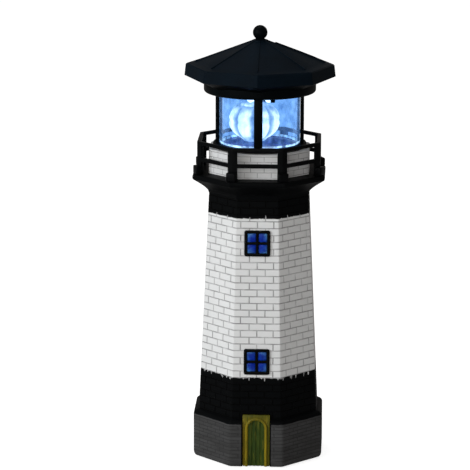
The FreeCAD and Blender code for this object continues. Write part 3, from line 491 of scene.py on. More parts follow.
# %% Coat group
def make_coat_group():
    group, given, out = new_group(
        "coat", {"Color": (0.5, 0.5, 0.5, 1), "Drift": 0.08, "Drift Scale": 60.0, "Roughness": 0.45,
                 "Grain": 0.15, "Grain Scale": 1800.0},
        {"Color": 'NodeSocketColor', "Roughness": 'NodeSocketFloat', "Normal": 'NodeSocketVector'})
    place = object_place(group)
    swing = math_node(group, 'SUBTRACT', noise(group, place, given["Drift Scale"], 4.0), 0.5)
    level = math_node(group, 'ADD', math_node(group, 'MULTIPLY', swing, given["Drift"], 4.0), 1.0)
    tone = node(group, 'CombineColor', Red=level, Green=level, Blue=level).outputs["Color"]
    gloss = math_node(group, 'ADD', given["Roughness"],
                      math_node(group, 'MULTIPLY', swing, 0.35), clamp=True)
    bump = node(group, 'Bump', Strength=given["Grain"], Distance=0.0002,
                Height=noise(group, place, given["Grain Scale"], 2.0))
    feed(group, out, Color=blend(group, 1.0, given["Color"], tone, 'MULTIPLY'), Roughness=gloss,
         Normal=bump.outputs["Normal"])
    return group


COAT = make_coat_group()


def coated(name, colour, rough, drift=0.08, drift_scale=60.0, grain=0.15, grain_scale=1800.0,
           metal=0.0, coat=0.0, specular=0.5):
    """Material with the coat group between a colour and its own Principled shader."""
    made, tree, shader = new_material(name, Metallic=metal, Coat_Weight=coat,
                                      Specular_IOR_Level=specular)
    given = colour if isinstance(colour, tuple) else colour(tree)
    group = use_group(tree, COAT, Color=given, Roughness=rough, Drift=drift, Drift_Scale=drift_scale,
                      Grain=grain, Grain_Scale=grain_scale)
    feed(tree, shader, Base_Color=group.outputs["Color"], Roughness=group.outputs["Roughness"],
         Normal=group.outputs["Normal"])
    return made


def add_glow(made, colour, power):
    """Let a coated material shine in a colour, too."""
    tree = made.node_tree
    given = colour if isinstance(colour, tuple) else colour(tree)
    feed(tree, tree.nodes["Principled BSDF"], Emission_Color=given, Emission_Strength=power)


def dress(piece, made):
    piece.data.materials.clear()
    piece.data.materials.append(made)


def dress_node(name, made):
    """Give a construction piece that stays its finish."""
    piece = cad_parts[name]
    if not piece.material_slots:
        piece.data.materials.append(made)
    for slot in piece.material_slots:
        slot.material = made


print("coat group ready")

# %% [markdown]
# Brush lines.  The bands on the tower were brushed on by hand over the brickwork.  The paint edge
# wanders, and the brush misses the joints between the bricks, so a joint stays pale a little way
# into the black.  The bands could be faces with colours of their own, but their edges would be as
# straight as the mesh.  So a group works out one such edge at a height, and the tower uses it
# three times.
# A shader sees places in metres, so the heights of the paint are in metres too.

# %% Brush line group
def make_brush_group():
    group, given, out = new_group(
        "brush_line", {"Height": 0.1, "Wander": 0.0006, "Missed Joint": 0.002, "Bristles": 0.65,
                       "Joint": 0.0, "Way": 1.0}, {"Mask": 'NodeSocketFloat'})
    flat = stretched(group, 0.4)
    slow = noise(group, flat, 95.0, 3.0)
    quick = noise(group, flat, 420.0, 2.0)
    sway = math_node(group, 'ADD', math_node(group, 'SUBTRACT', slow, 0.5),
                     math_node(group, 'MULTIPLY', math_node(group, 'SUBTRACT', quick, 0.5), 0.35))
    wander = math_node(group, 'MULTIPLY', sway, 4.0, given["Wander"])
    missed = math_node(group, 'MULTIPLY', given["Missed Joint"], ramp(group, slow, 0.33, 0.56),
                       given["Joint"])
    bristle = noise(group, stretched(group, 0.03), 760.0, 1.0)
    skipped = math_node(group, 'MULTIPLY', ramp(group, bristle, 0.61, 0.72), given["Missed Joint"],
                        given["Bristles"])
    missed = math_node(group, 'MAXIMUM', missed, skipped)
    edge = math_node(group, 'ADD', given["Height"], wander,
                     math_node(group, 'MULTIPLY', missed, given["Way"]))
    above = math_node(group, 'SUBTRACT', split_place(group)["Z"], edge)
    way_above = math_node(group, 'MULTIPLY', above, given["Way"])
    feed(group, out, Mask=ramp(group, way_above, -0.00012, 0.00012))
    return group


BRUSH = make_brush_group()
WHITE = grey(0.80, (0.985, 0.995, 1.0))
MORTAR = grey(0.34, (1.0, 1.0, 1.02))
BLACK = grey(0.0022, (0.85, 1.0, 1.15))
BLACK_JOINT = grey(0.0018)
PLINTH_GREY = grey(0.046)
PLINTH_BRUSHED = grey(0.070, (1.0, 1.0, 1.02))
PLINTH_JOINT = grey(0.034)
PLINTH_PAINT_TOP = 0.0286
LOWER_BAND_TOP = 0.0579
UPPER_BAND_FOOT = 0.1592
REVEAL_HALF_WIDTH = 0.0094
REVEAL_TOP = 0.03515
REVEAL_DEPTH = -0.0335


def brush_mask(tree, height, way, joint, wander=0.00034, missed=0.0031, bristles=0.65):
    made = use_group(tree, BRUSH, Height=height, Way=way, Wander=wander, Missed_Joint=missed,
                     Bristles=bristles, Joint=joint)
    return made.outputs["Mask"]


def white_colour(tree, least=0.4):
    """White paint whose joints are more or less dirty."""
    patch = ramp(tree, noise(tree, object_place(tree), 160.0, 3.0), 0.3, 0.62, least, 1.0)
    return blend(tree, math_node(tree, 'MULTIPLY', attribute(tree, "joint"), patch), WHITE, MORTAR)


def door_reveal_paint_and_shade(tree):
    """Mask of the black edge round the door: the recess's sides, black partly as paint and partly as
    painted shade.
    """
    split = split_place(tree)
    beside = ramp(tree, math_node(tree, 'ABSOLUTE', split["X"]), REVEAL_HALF_WIDTH + 0.0001,
                  REVEAL_HALF_WIDTH - 0.0001)
    below = ramp(tree, split["Z"], REVEAL_TOP + 0.00015, REVEAL_TOP - 0.00015)
    front = ramp(tree, split["Y"], REVEAL_DEPTH + 0.0005, REVEAL_DEPTH - 0.0005)
    return math_node(tree, 'MULTIPLY', beside, below, front)


def tower_colour(tree):
    """Grey plinth, black, white and black bands, with darker joints."""
    joint = attribute(tree, "joint")
    upright = attribute(tree, "upright")
    streak = ramp(tree, noise(tree, stretched(tree, 7), 45.0, 5.0), 0.35, 0.7)
    brushed = blend(tree, streak, PLINTH_GREY, PLINTH_BRUSHED)
    plinth = blend(tree, joint, brushed, PLINTH_JOINT)
    black = blend(tree, joint, BLACK, BLACK_JOINT)
    lower = brush_mask(tree, PLINTH_PAINT_TOP, 1.0, upright, 0.0002, 0.0)
    middle = brush_mask(tree, LOWER_BAND_TOP, -1.0, upright)
    upper = brush_mask(tree, UPPER_BAND_FOOT, 1.0, upright, missed=0.0024, bristles=0.15)
    bands = blend(tree, math_node(tree, 'MAXIMUM', middle, upper), white_colour(tree, 0.45), black)
    # Round the door the recess is black: partly paint, partly painted shade.
    return blend(tree, door_reveal_paint_and_shade(tree), blend(tree, lower, plinth, bands), BLACK_JOINT)


WHITE_COAT = {"drift": 0.03, "drift_scale": 70.0, "grain": 0.25, "grain_scale": 1500.0}
TOWER_PAINT = coated("tower_paint", tower_colour, 0.50, specular=0.03, **WHITE_COAT)
WHITE_PAINT = coated("white_paint", white_colour, 0.50, specular=0.16, **WHITE_COAT)
BLACK_PAINT = coated("black_paint", BLACK, 0.38, drift=0.25, drift_scale=90.0, grain=0.20,
                     grain_scale=1400.0, specular=0.04)
print("paints ready")

# %% [markdown]
# Brickwork.  The bricks are moulded, so the joints are real grooves.  They could be painted on as a
# bump, but the grooves have to show on the outline and in the finished mesh.  So the wall is cut
# by level planes and, one side and every other course at a time, by upright planes.  The narrow
# strips between the cuts are then pushed in, which gives each groove sloping sides.

# %% Brickwork
BRICK = 10.2
COURSE = 4.33
WIDE = {"floor": 0.44, "slope": 0.20, "depth": 0.34}
FINE = {"floor": 0.26, "slope": 0.14, "depth": 0.14}
SHIFT = 0.3
CORNER_ROOM = 1.6
FACING = 0.97
SKIN = 1.4


def courses(low, high, pitch=COURSE):
    count = max(1, round((high - low) / pitch))
    return [low + (high - low) * step / count for step in range(count + 1)]


def cut_visible(place, direction):
    bpy.ops.mesh.select_all(action='SELECT')
    bpy.ops.mesh.bisect(plane_co=place, plane_no=direction)


def groove_lines(joint):
    half = joint["floor"] / 2
    return (-half - joint["slope"], -half, half, half + joint["slope"])


def lay_bricks(piece, lines, half_width, outside, seed, brick=BRICK, joint=WIDE):
    """Cut joints into upright walls between the first and last level line, in millimetres.

    half_width is half a side's width at its foot, and outside(point) is true on the outer skin."""
    rng = random.Random(seed)
    low, high = lines[0], lines[-1]
    pitch = lines[1] - lines[0]
    pick(piece, 'FACE', lambda centre, normal: outside(centre))
    bpy.ops.mesh.hide(unselected=True)
    for line in lines:
        for offset in groove_lines(joint):
            cut_visible((0, 0, (line + offset) * MM), (0, 0, 1))
    for side in range(SIDES):
        out, along = side_axes(-90.0 + SIDE_TURN * side)
        for parity in (0, 1):
            def chosen(centre, normal):
                if not outside(centre) or normal.dot(out) < FACING:
                    return False
                course, share = divmod((centre.z / MM - low) / pitch, 1.0)
                edge = min(share, 1 - share) * pitch
                return low < centre.z / MM < high and course % 2 == parity and edge > joint["floor"] / 2
            pick(piece, 'FACE', chosen)
            bpy.ops.mesh.hide(unselected=True)
            start = 0.0 if parity == 0 else brick / 2
            spots = {sign * (start + step * brick) for sign in (-1, 1) for step in range(4)}
            for spot in sorted(spots):
                spot += rng.uniform(-SHIFT, SHIFT)
                if abs(spot) > half_width - CORNER_ROOM:
                    continue
                for offset in groove_lines(joint):
                    cut_visible(along * (spot + offset) * MM, along)
            bpy.ops.mesh.reveal(select=False)
            bpy.ops.object.mode_set(mode='OBJECT')


def groove_points(piece, lines, outside, joint=WIDE):
    """Indices of the points on the floors of the level joints and of the upright ones."""
    points = piece.data.vertices
    low, high = lines[0], lines[-1]
    pitch = lines[1] - lines[0]
    level, upright = set(), set()
    for face in piece.data.polygons:
        centre = face.center
        if not outside(centre) or not (low - 0.5) * MM < centre.z < (high + 0.5) * MM:
            continue
        corners = [points[index].co for index in face.vertices]
        flat = Vector((face.normal.x, face.normal.y, 0)).normalized()
        turn = math.degrees(math.atan2(flat.y, flat.x)) % SIDE_TURN
        heights = [corner.z for corner in corners]
        spans = [corner.dot(Vector((-flat.y, flat.x, 0))) for corner in corners]
        tall = (max(heights) - min(heights)) / MM
        wide = (max(spans) - min(spans)) / MM
        share = ((centre.z / MM - low) / pitch) % 1.0
        near = min(share, 1 - share) * pitch
        if near < joint["floor"] / 2 and tall < joint["floor"] * 1.2:
            level.update(face.vertices)
        elif (near > joint["floor"] / 2 and abs(wide - joint["floor"]) < 0.04
              and min(turn, SIDE_TURN - turn) < 4.0):
            upright.update(face.vertices)
    return level, upright


def press_grooves(piece, level, upright, joint=WIDE):
    """Push the groove floors in and mark them for the paint."""
    mesh = piece.data
    unselect(piece, 'VERT')
    for name, found in (("joint", level | upright), ("upright", upright)):
        mark = mesh.attributes.get(name) or mesh.attributes.new(name, 'FLOAT', 'POINT')
        for index in found:
            mark.data[index].value = 1.0
    for index in level | upright:
        mesh.vertices[index].select = True
    bpy.ops.object.mode_set(mode='EDIT')
    bpy.ops.transform.shrink_fatten(value=-joint["depth"] * MM, use_even_offset=True)
    bpy.ops.object.mode_set(mode='OBJECT')


print("a brick is", BRICK, "by", COURSE, "mm, its joint", WIDE["depth"], "mm deep")

# %% [markdown]
# Tower shell.  Plinth, tapering tower and gallery deck are mouldings that seat in one another.
# They could be three pieces here too, but no seam shows, so they are drawn as one shell: an
# eight-sided ring that climbs the outside, turns in over the deck and comes down the inside, so
# the wall is closed and has its thickness from the start.

# %% Tower shell
PLINTH = 44.2
PLINTH_TOP = 29.5
SHOULDER_TOP = 31.5
TOWER_FOOT = 40.6
TOWER_HEAD = 33.8
TOWER_TOP = 172.5
DECK = 184.2
DECK_EDGE = 44.85
DECK_IN = 30.0
WALL = 2.8
FOOT = 0.8
FACE_FRONT = 22.5
PLINTH_COURSE = 2.35
PLINTH_BRICK = 7.6
DOOR_BACKING = {"beside": 2.0, "behind": 2.6}


def tower_corner(z):
    share = (z - SHOULDER_TOP) / (TOWER_TOP - SHOULDER_TOP)
    return TOWER_FOOT + share * (TOWER_HEAD - TOWER_FOOT)


def side_half(corner):
    return corner * math.sin(math.pi / SIDES)


def tower_profile():
    outside = [(FOOT, PLINTH - 1.3), (FOOT + 0.9, PLINTH - 0.5), (FOOT + 2.6, PLINTH),
               (PLINTH_TOP - 1.0, PLINTH)]
    for step in range(1, 5):
        angle = math.radians(90 * step / 5)
        outside.append((PLINTH_TOP - 1.0 + (SHOULDER_TOP - PLINTH_TOP + 0.6) * math.sin(angle),
                        PLINTH - (PLINTH - TOWER_FOOT - 0.3) * (1 - math.cos(angle))))
    outside += [(SHOULDER_TOP, TOWER_FOOT), (TOWER_TOP - 0.8, tower_corner(TOWER_TOP - 0.8))]
    cove_top = DECK - 3.5
    for step in range(1, 8):
        share = 0.55 * (1 - math.cos(math.radians(90.0 * step / 8))) + 0.45 * step / 8
        outside.append((TOWER_TOP + (cove_top - TOWER_TOP) * step / 8,
                        TOWER_HEAD + (DECK_EDGE - 0.6 - TOWER_HEAD) * share))
    outside += [(cove_top + 0.3, DECK_EDGE - 0.25), (cove_top + 1.2, DECK_EDGE),
                (DECK - 1.1, DECK_EDGE - 0.05), (DECK - 0.4, DECK_EDGE - 0.5), (DECK, DECK_EDGE - 1.4)]
    inside = [(DECK, DECK_IN), (DECK - 2.6, DECK_IN), (TOWER_TOP + 2, TOWER_HEAD - WALL),
              (SHOULDER_TOP, TOWER_FOOT - WALL), (PLINTH_TOP - 2, PLINTH - WALL), (FOOT, PLINTH - WALL)]
    return outside + inside


def plinth_edge(a, b):
    return (abs(a.z - b.z) > 0.1 * MM and max(a.z, b.z) < (SHOULDER_TOP - 0.2) * MM
            and min(a.xy.length, b.xy.length) > (TOWER_FOOT + 0.9) * MM)


def tower_edge(a, b):
    steep = abs(a.z - b.z) > max(0.1 * MM, abs(a.xy.length - b.xy.length))
    return (steep and min(a.z, b.z) > (SHOULDER_TOP - 0.2) * MM
            and max(a.z, b.z) < (TOWER_TOP + 0.1) * MM
            and a.xy.length > (tower_corner(a.z / MM) - 1.0) * MM)


def tower_skin(centre):
    return (centre.xy.length > (tower_corner(centre.z / MM) - SKIN) * FLAT * MM
            and SHOULDER_TOP * MM < centre.z < TOWER_TOP * MM)


def plinth_skin(centre):
    return (centre.xy.length > (PLINTH - SKIN) * FLAT * MM
            and 1.5 * MM < centre.z < PLINTH_TOP * MM)


def make_shell():
    shell = eight_sided("tower_brickwork", tower_profile(), FACE_FRONT)
    bevel_picked(shell, 'EDGE', plinth_edge, 1.1, 2)
    bevel_picked(shell, 'EDGE', tower_edge, 0.5, 2)
    tower_lines = courses(SHOULDER_TOP + 0.55, TOWER_TOP - 2.0)
    plinth_lines = courses(4.6, PLINTH_TOP - 2.2, PLINTH_COURSE)
    lay_bricks(shell, tower_lines, side_half(tower_corner(tower_lines[0])), tower_skin, 3)
    lay_bricks(shell, plinth_lines, side_half(PLINTH) - 1.4, plinth_skin, 5, PLINTH_BRICK, FINE)
    press_grooves(shell, *groove_points(shell, tower_lines, tower_skin))
    press_grooves(shell, *groove_points(shell, plinth_lines, plinth_skin, FINE), FINE)
    print("tower points", len(shell.data.vertices), "courses", len(tower_lines) - 1)
    return shell


def front_cutters():
    """Blocks that let the door and the two windows into the front."""
    low, high = node_box("door_surround")
    parts = [block("cut_door", (low[0] - 0.15, high[0] + 0.15), (low[1] - 4, high[1]),
                   (-1, high[2] + 0.2))]
    for name in ("upper_window_frame", "lower_window_frame"):
        low, high = node_box(name)
        parts.append(block("cut_window", (low[0] + 0.3, high[0] - 0.3), (low[1] - 2, high[1] - 0.5),
                           (low[2] + 0.4, high[2] - 0.4)))
    return join("front_cutters", parts)


def door_back():
    """Wall behind the door, where the cutter has gone through the shell."""
    low, high = node_box("door_surround")
    beside, behind = DOOR_BACKING["beside"], DOOR_BACKING["behind"]
    return block("door_back", (low[0] - beside, high[0] + beside), (high[1], high[1] + behind),
                 (FOOT, high[2] + behind))


def make_tower():
    shell = make_shell()
    cut_away(shell, front_cutters())
    whole = join("tower_brickwork", [shell, door_back()])
    weigh_shading(whole, WALL_ANGLE)
    dress(whole, TOWER_PAINT)
    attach(whole, "tower")
    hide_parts("plinth", "tower_wall", "gallery_deck")
    return whole


tower = make_tower()
print("tower faces", len(tower.data.polygons))

# %% [markdown]
# Watch room.  The drum under the lens is the same moulding work on a small scale.  It could be a
# level more of the tower's ring, but it is a moulding of its own with finer bricks and its own
# paint.  So it is an eight-sided ring with a ledge on top, cut in the same way as the tower.

# %% Watch room
WATCH = 33.95
LEDGE = node_box("seat_gasket")[0][2]
SEAT = 25.35
WATCH_COURSE = 3.3
WATCH_BRICK = 8.4


def watch_edge(a, b):
    return abs(a.z - b.z) > 10 * MM and a.xy.length > (WATCH - 1.0) * MM


def watch_skin(centre):
    return (centre.xy.length > (WATCH - 1.2) * FLAT * MM
            and DECK * MM < centre.z < (LEDGE - 0.55) * MM)


def make_watch_room():
    seat_corner = SEAT / FLAT + 0.2
    profile = [(DECK, WATCH), (LEDGE - 0.5, WATCH), (LEDGE, WATCH - 0.5), (LEDGE, seat_corner),
               (LEDGE - 2.0, seat_corner), (LEDGE - 2.0, WATCH - WALL), (DECK, WATCH - WALL)]
    room = eight_sided("watch_brickwork", profile, FACE_FRONT)
    bevel_picked(room, 'EDGE', watch_edge, 0.4, 2)
    lines = courses(DECK + 0.8, LEDGE - 1.2, WATCH_COURSE)
    lay_bricks(room, lines, side_half(WATCH), watch_skin, 7, WATCH_BRICK, FINE)
    press_grooves(room, *groove_points(room, lines, watch_skin, FINE), FINE)
    weigh_shading(room, WALL_ANGLE)
    dress(room, WHITE_PAINT)
    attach(room, "tower")
    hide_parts("watch_room")
    return room


print("watch room", size_of(make_watch_room()))

# %% [markdown]
# Railing.  The railing is one moulding.  Rods pushed through one another would look like it, but
# leave hidden faces at every post.  So it starts as a thin eight-sided wall whose levels are
# already the edges of the bars.  Each side is cut beside its posts, the faces of the openings are
# deleted, and Solidify then gives the rest its thickness and closes every rim.  The bevel
# afterwards rounds every edge, which catches the light on black plastic.

# %% Gallery railing
RAIL = 41.7
RAIL_IN = 39.15
RAIL_TOP = DECK + 20.7
RAIL_LEVELS = (DECK, DECK + 8.2, DECK + 10.6, RAIL_TOP - 2.2, RAIL_TOP)
POST = 3.6
POST_FOOT = {"half_width": 3.2, "height": 5.3, "past_rail": 1.7}


def make_railing():
    wall = eight_sided("railing", [(level, RAIL) for level in RAIL_LEVELS], FACE_FRONT, closed=False)
    gap = (2 * side_half(RAIL) - 2 * POST) * MM
    rows = (RAIL_LEVELS[0:2], RAIL_LEVELS[2:4])
    for side in range(SIDES):
        out, along = side_axes(SIDE_TURN * side)

        def on_side(centre, normal):
            return centre.dot(out) > 0.9 * FLAT * RAIL * MM

        def open_part(centre, normal):
            return (on_side(centre, normal) and abs(centre.dot(along)) < gap / 2
                    and any(low * MM < centre.z < high * MM for low, high in rows))
        pick(wall, 'FACE', on_side)
        bpy.ops.mesh.hide(unselected=True)
        for half in (-gap / 2, gap / 2):
            cut_visible(along * half, along)
        finish_edit()
        pick(wall, 'FACE', open_part)
        bpy.ops.mesh.delete(type='FACE')
        finish_edit()
    apply_modifier(wall, "thickness", 'SOLIDIFY', thickness=(RAIL - RAIL_IN) * FLAT * MM,
                   offset=-1.0, use_even_offset=True)
    soften(wall, 0.30, 2)
    half = POST_FOOT["half_width"]
    foot = block("post_foot", (RAIL_IN + 0.1, RAIL + POST_FOOT["past_rail"]), (-half, half),
                 (DECK, DECK + POST_FOOT["height"]))
    soften(foot, 0.7)
    foot.data.transform(turned(FACE_FRONT))
    whole = join("railing", [wall] + ring_of(foot, SIDES))
    dress(whole, BLACK_PAINT)
    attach(whole, "tower")
    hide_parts("gallery_railing")
    return whole


railing = make_railing()
print("railing faces", len(railing.data.polygons))

# %% [markdown]
# Windows.  A window is a black frame round blue enamel.  It could be shaped in its place, but its
# edges are easier to find while it stands straight.  So each one is drawn upright on the tower's
# axis, then its mesh is moved onto the leaning wall.  The glass has four raised panes.  Every
# point keeps how far out it lies as its own value, and the glass turns paler by it towards the
# outer corners: a painted highlight where the domed panes catch the light.

# %% Windows
WINDOW = (16.2, 16.4)
BORDER = 1.8
CROSS = 1.4
PANE = [(size - 2 * BORDER - CROSS) / 2 for size in WINDOW]
PANE_REACH = 8.3
TRIM_HALF_DEPTH = 1.1
BACK_INSET = 1.05
WINDOW_LEVELS = {"upper_window": 143.8, "lower_window": 68.4}


def enamel_colour(tree):
    cloud = noise(tree, object_place(tree), 420.0, 3.0)
    deep = blend(tree, ramp(tree, cloud, 0.3, 0.7), (0.001, 0.012, 0.23, 1), (0.002, 0.036, 0.40, 1))
    # Paler blue towards the outer corners of the panes: a painted highlight.
    rim = math_node(tree, 'MULTIPLY', math_node(tree, 'POWER', attribute(tree, "outer"), 5.0),
                    ramp(tree, cloud, 0.38, 0.62, 0.25, 1.0), clamp=True)
    return blend(tree, rim, deep, (0.11, 0.34, 0.62, 1))


ENAMEL = coated("blue_glass", enamel_colour, 0.22, drift=0.1, drift_scale=150.0, grain=0.10,
                grain_scale=700.0, coat=0.03, specular=0.10)


def on_front(z):
    lean = math.atan(FLAT * (TOWER_FOOT - TOWER_HEAD) / (TOWER_TOP - SHOULDER_TOP))
    place = Matrix.Translation((0, -FLAT * tower_corner(z) * MM, z * MM))
    return place @ Matrix.Rotation(-lean, 4, 'X')


def runs_back(a, b):
    return abs(a.y - b.y) > 1 * MM


def window_light(across, up):
    """Cutter for one light of the frame and the raised pane that fills it."""
    spans = [(middle - size / 2, middle + size / 2) for middle, size in zip((across, up), PANE)]
    cutter = block("light", spans[0], (-3, 3), spans[1])
    bevel_picked(cutter, 'EDGE', runs_back, 0.7, 3)
    inner = [(low + 0.05, high - 0.05) for low, high in spans]
    pane = block("pane", inner[0], (-0.75, 0.4), inner[1])
    bevel_picked(pane, 'FACE', lambda centre, normal: normal.y < -0.5, 1.0, 4)
    return cutter, pane


def make_window(name, z):
    across, up = [(-size / 2, size / 2) for size in WINDOW]
    trim = block(name + "_trim", across, (-TRIM_HALF_DEPTH, TRIM_HALF_DEPTH), up)
    bevel_picked(trim, 'EDGE', runs_back, 1.3, 4)
    lights = [window_light(side * (PANE[0] + CROSS) / 2, level * (PANE[1] + CROSS) / 2)
              for side in (-1, 1) for level in (-1, 1)]
    cut_away(trim, join("lights", [cutter for cutter, pane in lights]))
    soften(trim, 0.3, 2)
    across, up = [(BACK_INSET - size / 2, size / 2 - BACK_INSET) for size in WINDOW]
    back = block("pane_back", across, (0.2, 1.05), up)
    glass = join(name + "_panes", [pane for cutter, pane in lights] + [back])
    mark = glass.data.attributes.new("outer", 'FLOAT', 'POINT')
    for point in glass.data.vertices:
        reach = Vector((point.co.x, point.co.z)).length / (PANE_REACH * MM)
        mark.data[point.index].value = min(1.0, reach)
    smooth(glass, BEAD_ANGLE)
    for piece, paint, slot, node_name in ((trim, BLACK_PAINT, "black_paint", name + "_frame"),
                                          (glass, ENAMEL, "blue_glass", name + "_glass")):
        piece.data.transform(on_front(z))
        dress(piece, paint)
        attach(piece, "tower")
        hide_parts(node_name)


for window_name, window_z in WINDOW_LEVELS.items():
    make_window(window_name, window_z)
print("windows at", WINDOW_LEVELS)

# %% [markdown]
# Door.  A yellow surround with a raised bead holds a green leaf of planks.  The surround is a block
# with an arch cut through it.  Its bead could be a curve with a round section, but operators do it
# too: a small circle is extruded up one side, spun round the arch and extruded down again.  The
# leaf is a flat arch outline pulled to a slab, with its plank joints cut and pushed in.

# %% Door
DOOR_BACK = -FLAT * PLINTH + 3.8
TRIM_DEPTH = 2.0
LEAF_WIDTH = 10.4
LEAF_DEPTH = 1.3
ARCH_TOP = 30.9
ARCH_MIDDLE = ARCH_TOP - LEAF_WIDTH / 2
BEAD = 0.95
BEAD_FOOT = 0.9
PLANK_JOINT = {"floor": 0.28, "slope": 0.28, "depth": 0.45}
# Heights over which the surround turns olive at its head: painted shade.
HEAD_SHADE = (0.0275, 0.0335)
OLIVE_EDGE = (0.0064, 0.0072)
OLIVE_SHARE = 0.8
HAND_COAT = {"grain": 0.30, "grain_scale": 900.0, "specular": 0.12}
YELLOW_TONES = ((0.19, 0.140, 0.008, 1), (0.28, 0.21, 0.010, 1), (0.12, 0.115, 0.010, 1))
OLIVE_TONES = ((0.050, 0.062, 0.008, 1), (0.075, 0.078, 0.009, 1), (0.032, 0.045, 0.008, 1))
GREEN_TONES = ((0.026, 0.048, 0.007, 1), (0.050, 0.078, 0.009, 1), (0.10, 0.105, 0.011, 1))


def hand_paint(tree, tones):
    """Three tones of one paint in upright strokes."""
    place = stretched(tree, 0.16)
    broad = ramp(tree, noise(tree, place, 330.0, 3.0), 0.38, 0.62)
    fine = ramp(tree, noise(tree, place, 900.0, 2.0), 0.52, 0.72)
    return blend(tree, fine, blend(tree, broad, tones[0], tones[1]), tones[2])


def trim_colour(tree):
    """Yellow that turns olive at the head, which is painted shade, and down the right edge."""
    split = split_place(tree)
    head_shade_and_edge = math_node(tree, 'MAXIMUM', ramp(tree, split["Z"], *HEAD_SHADE),
                          ramp(tree, split["X"], *OLIVE_EDGE))
    return blend(tree, math_node(tree, 'MULTIPLY', head_shade_and_edge, OLIVE_SHARE),
                 hand_paint(tree, YELLOW_TONES), hand_paint(tree, OLIVE_TONES))


YELLOW = coated("door_yellow", trim_colour, 0.45, **HAND_COAT)
GREEN = coated("door_green", lambda tree: hand_paint(tree, GREEN_TONES), 0.48, **HAND_COAT)


def arch_slab(name, half, low, front, back):
    """Slab with an arched head between two depths, in millimetres."""
    outline = [(-half, low), (half, low)] + list(arc((0, ARCH_MIDDLE), half, 0, 180, 20))
    piece = from_points(name, [(x, front, z) for x, z in outline], [], [tuple(range(len(outline)))])
    extrude(y=back - front)
    finish_edit()
    return piece


def make_bead():
    clear()
    front = DOOR_BACK - TRIM_DEPTH
    reach = LEAF_WIDTH / 2 + BEAD
    bpy.ops.mesh.primitive_circle_add(vertices=12, radius=BEAD * MM,
                                      location=(reach * MM, front * MM, BEAD_FOOT * MM))
    bead = settle("door_bead")
    edit_all()
    bpy.ops.mesh.edge_face_add()
    extrude(z=ARCH_MIDDLE - BEAD_FOOT)
    bpy.ops.mesh.spin(steps=24, angle=math.pi, center=(0, front * MM, ARCH_MIDDLE * MM), axis=(0, 1, 0))
    extrude(z=BEAD_FOOT - ARCH_MIDDLE)
    finish_edit()
    smooth(bead, BEAD_ANGLE)
    return bead


def make_surround():
    low, high = node_box("door_surround")
    trim = block("door_trim", (low[0], high[0]), (DOOR_BACK - TRIM_DEPTH, DOOR_BACK), (0.8, high[2]))
    cut_away(trim, arch_slab("arch_cut", LEAF_WIDTH / 2, -2, DOOR_BACK - 5, DOOR_BACK + 5))
    soften(trim, 0.3, 2)
    whole = join("door_trim", [trim, make_bead()])
    dress(whole, YELLOW)
    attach(whole, "tower")
    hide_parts("door_surround")
    return whole


def make_leaf():
    front = DOOR_BACK - LEAF_DEPTH
    leaf = arch_slab("door_planks", LEAF_WIDTH / 2 - 0.05, 0.8, front, DOOR_BACK)
    only(leaf)
    bpy.ops.object.mode_set(mode='EDIT')
    joints = [LEAF_WIDTH * share for share in (-0.25, 0.0, 0.25)]
    for joint in joints:
        for offset in groove_lines(PLANK_JOINT):
            cut_visible(((joint + offset) * MM, 0, 0), (1, 0, 0))
    finish_edit()
    pick(leaf, 'VERT', lambda point: point.y < (front + 0.1) * MM
         and any(abs(point.x / MM - joint) < 0.2 for joint in joints))
    bpy.ops.transform.translate(value=(0, PLANK_JOINT["depth"] * MM, 0))
    finish_edit()
    smooth(leaf, 30)
    dress(leaf, GREEN)
    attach(leaf, "tower")
    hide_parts("door_leaf")
    return leaf


print("door", size_of(make_surround()), "leaf", size_of(make_leaf()))

# %% [markdown]
# Lens frame.  A black cage holds the lens.  Its rings could be cylinders cut out of each other, but
# an outline spun about the tower's axis gives true circles and keeps each fillet in the outline
# itself.  The four bars are blocks, copied round.

# %% Lens frame
CAP_COAT = {"drift": 0.25, "drift_scale": 70.0, "grain": 0.18, "grain_scale": 1100.0}
CAP_BLACK = coated("cap_black", (0.0009, 0.0018, 0.0024, 1), 0.44, specular=0.032, **CAP_COAT)
LENS = 25.3
LENS_IN = 23.8
BAR_IN = 25.45
BAR_OUT = 27.75
BAR_HALF = 2.65
BARS = 4
HOOK_HALF = 4.4
FOOT_IN = 21.8
FOOT_OUT = 29.35
CEILING = node_box("led_board")[1][2]
LENS_FOOT = node_box("lens_tube")[0][2]


def make_lens_frame():
    foot_top, under = LENS_FOOT + 1.0, LENS_FOOT - 1.0
    foot = ([(FOOT_IN, LENS_FOOT), (BAR_IN, LENS_FOOT), (BAR_IN, foot_top - 0.2),
             (BAR_IN + 0.2, foot_top)]
            + list(arc((FOOT_OUT - 0.6, foot_top - 0.6), 0.6, 90, 0, 5))
            + [(FOOT_OUT, LENS_FOOT - 0.8), (FOOT_OUT - 0.2, under), (LENS, under),
               (LENS, LEDGE - 5.8), (LENS - 0.3, LEDGE - 6.0), (LENS - 1.6, LEDGE - 6.0),
               (LENS - 1.6, under), (FOOT_IN, under)])
    low, high = CEILING - 2.4, CEILING
    top = [(BAR_IN, low), (BAR_OUT - 0.3, low), (BAR_OUT, low + 0.3), (BAR_OUT, high - 0.3),
           (BAR_OUT - 0.3, high), (BAR_IN, high)]
    parts = [spun("frame_foot", foot), spun("frame_top", top)]
    for piece in parts:
        smooth(piece, ROUND_ANGLE)
    bar = block("frame_bar", (BAR_IN, BAR_OUT), (-BAR_HALF, BAR_HALF), (LENS_FOOT + 0.6, CEILING - 1))
    soften(bar, 0.45)
    parts += ring_of(bar, BARS)
    hook = block("frame_hook", (LENS - 0.5, LENS + 1.0), (-HOOK_HALF, HOOK_HALF),
                 (LEDGE - 4.55, LEDGE - 2.2))
    hook.data.transform(turned(45.0))
    whole = join("lens_cage", parts + ring_of(hook, BARS))
    dress(whole, CAP_BLACK)
    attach(whole, "lamp_frame")
    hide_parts("lens_frame")
    return whole


print("lens frame", size_of(make_lens_frame()))

